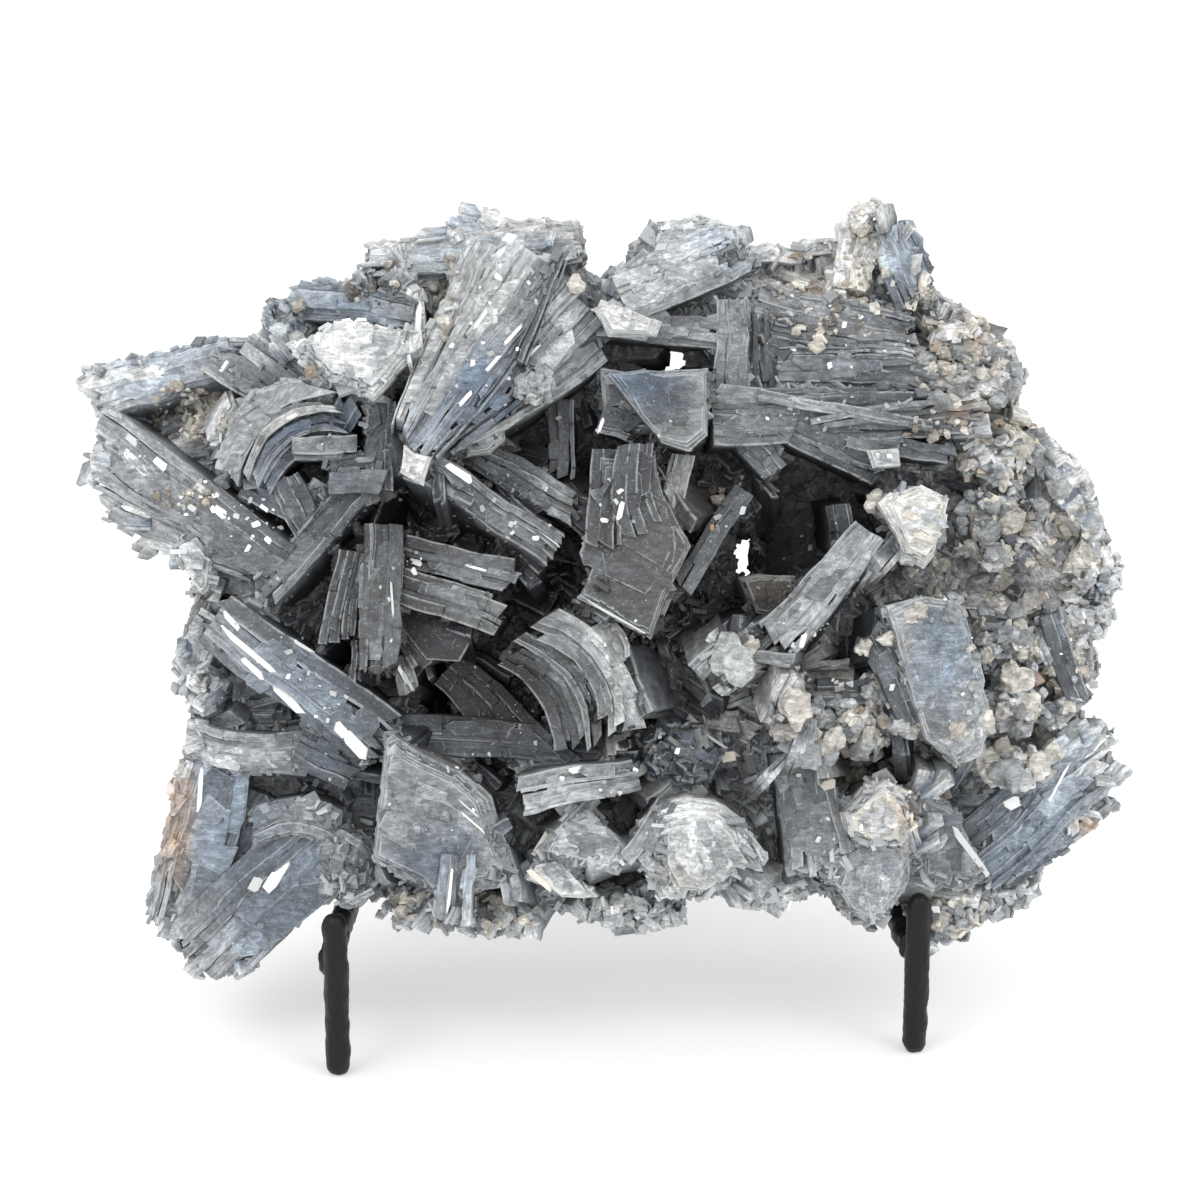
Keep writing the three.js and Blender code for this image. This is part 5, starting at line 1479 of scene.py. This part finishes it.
CRUMB_PATCHES = (
    # middle, half widths, how many, radii, tones
    ((-101.5, 47), (11, 8), 130, (0.5, 1.5), "tan cream brown sand"),
    ((-104, 26), (7, 3), 40, (0.4, 1.2), "tan cream sand"),
    ((-57, 77), (7, 5), 50, (0.5, 1.3), "cream brown sand"),
    ((-39, 76), (5, 11), 60, (0.4, 1.3), "cream sand pale"),
    ((26, 24), (5, 8), 60, (0.4, 1.4), "sand tan orange cream"),
    ((82, 3), (12, 9), 120, (0.5, 2.6), "cream mist pale"),
    ((88, 42), (12, 3), 70, (0.4, 1.3), "tan sand cream"),
    ((57, 76), (18, 12), 150, (0.4, 1.5), "tan cream pale sand"),
    ((66, 90), (6, 7), 60, (0.4, 1.3), "cream sand tan"),
    ((66, -33), (12, 10), 120, (0.5, 2.8), "cream mist pale mist"),
    ((90, 58), (12, 9), 110, (0.5, 2.4), "cream sand mist"),
    ((106, 20), (16, 34), 330, (0.5, 3.6), "cream mist pale mist sand"),
    ((104, -26), (16, 20), 190, (0.5, 3.2), "cream mist pale mist sand"),
    ((90, -78), (12, 6), 90, (0.5, 1.7), "sand cream mist"),
    ((0, 0), (100, 70), 420, (0.25, 0.7), "pale white mist"),
)


def strewn(draw, centre, widths):
    """What the eye meets at a random place in an oval."""
    angle, away = draw(0, 2 * math.pi), math.sqrt(draw(0, 1))
    return land(centre[0] + widths[0] * away * math.cos(angle),
                centre[1] + widths[1] * away * math.sin(angle))


def ball(detail):
    """The corners and triangles of a ball."""
    made = bmesh.new()
    bmesh.ops.create_icosphere(made, subdivisions=detail, radius=1)
    corners = np.array([vert.co[:] for vert in made.verts])
    faces = np.array([[vert.index for vert in face.verts] for face in made.faces])
    made.free()
    return corners, faces


def pebble(shells, spot, radius, colour, detail=1, jag=0.22):
    corners, faces = balls[detail]
    draw = shells.random.uniform
    shift = draw(0, 90, 3)
    bumps = np.array([noise.noise(Vector(corner * 1.4 + shift)) for corner in corners])
    shape = corners * (1 + 0.7 * bumps + draw(-jag, jag, len(corners)))[:, None] * draw(0.6, 1.15, 3) * radius
    shape = shape @ np.array(Matrix.Rotation(draw(0, 6.3), 3, Vector(unit(draw(-1, 1, 3)))))
    edges = np.tile((0.4, 0, 0), (len(corners), 1))
    tints = np.tile(colour, (len(corners), 1))
    shells.add(shape + spot, tints, shape, edges, faces)


balls = {detail: ball(detail) for detail in (1, 2, 3)}
bright = Shells("mirror_faces", 21)
for x, y, length, width, degrees, *named in GLINTS:
    spot, normal, _ = land(x, y)
    if spot is None:
        continue
    facing = unit(unit(normal) * 0.25 + (0, 0, 1))
    way = np.array((math.cos(math.radians(degrees)), math.sin(math.radians(degrees)), 0))
    way = unit(way - facing * (way @ facing))
    sunk = spot + facing * (GLINT_PROUD - GLINT_THICK / 2)
    scale = near(spot[2])
    size = np.array([[length * scale, width * scale, GLINT_THICK]])
    # painted highlight: the tablet's colour is white or a pale tone, made lighter still
    colour = tone(*(named or ["white"])) * GLINT_LIGHT
    bright.tablets(sunk[None], way[None], facing[None], size, colour[None], gloss_and_painted_glint=1)
draw = bright.random.uniform
for centre, widths, count in SPARKLES:
    for _ in range(count):
        spot, normal, _ = strewn(draw, centre, widths)
        if spot is not None:
            size = draw(0.3, 1.0) ** 2.5
            facing = unit(unit(normal) * 0.5 + (draw(-0.3, 0.3), draw(-0.3, 0.3), 1))
            bright.chips((spot + facing * 0.1)[None], facing[None], np.array([[2.2 * size, 1.4 * size, 0.6]]),
                         tone("white")[None] * draw(0.35, 1.4), gloss_and_painted_glint=1)
bright.piece(bent=False, lightest=0.95)

loose = Shells("pebbles_and_crumbs", 22)
for x, y, radius, name in PEBBLES:
    spot, normal, _ = land(x, y)
    if spot is not None:
        detail = 3 if radius > 2.5 else 2
        pebble(loose, spot + unit(normal) * radius * 0.35, radius, tone(name) * 0.9, detail, 0.03)
draw = loose.random.uniform
for centre, widths, count, radii, names in CRUMB_PATCHES:
    names = names.split()
    for _ in range(count):
        radius = draw(*radii) ** 1.5 / radii[1] ** 0.5
        spot, normal, bare = strewn(draw, centre, widths)
        colour = tone(names[int(draw(0, len(names)))]) * draw(0.7, 1.1)
        if spot is not None and (bare or draw(0, 1) < 0.5):
            pebble(loose, spot + unit(normal) * radius * 0.2, radius, colour, 1 if radius < 1.4 else 2)
loose.piece(bent=False)

# Floor and light
# A white table that runs back out of sight, under two large soft lamps at the front and an
# evenly bright room.

FLOOR_SIZE = 8.0
LAMPS = (((-1.1, -1.3, 1.5), 1.1, 11), ((1.2, -1.2, 1.6), 1.1, 9))  # place, width, watts
floor_finish = Finish("pale_floor")
paper = floor_finish.cloud(floor_finish.places(), 90)
floor_material = floor_finish.surface(paper, 0.05, 0.1, base_color=(0.8, 0.8, 0.8, 1), roughness=0.7,
                                       emission_color=(1, 1, 1, 1), emission_strength=0.28)
floor_mesh = bpy.data.meshes.new("floor")
half = FLOOR_SIZE / 2
corners = [(-half, -half, 0), (half, -half, 0), (half, half, 0), (-half, half, 0)]
floor_mesh.from_pydata(corners, [], [(0, 1, 2, 3)])
floor_mesh.materials.append(floor_material)
floor = bpy.data.objects.new("floor", floor_mesh)
bpy.context.scene.collection.objects.link(floor)
for place, width, watts in LAMPS:
    lamp = bpy.data.objects.new("lamp", bpy.data.lights.new("lamp", "AREA"))
    lamp.data.size = width
    lamp.data.energy = watts
    lamp.location = place
    lamp.rotation_euler = (Vector((0, 0, 0.1)) - Vector(place)).to_track_quat("-Z", "Y").to_euler()
    bpy.context.scene.collection.objects.link(lamp)
world = bpy.data.worlds.new("bright_room")
world.use_nodes = True
world.node_tree.nodes["Background"].inputs["Color"].default_value = (1, 1, 1, 1)
world.node_tree.nodes["Background"].inputs["Strength"].default_value = 1.06
bpy.context.scene.world = world
bpy.context.scene.view_settings.view_transform = "Standard"
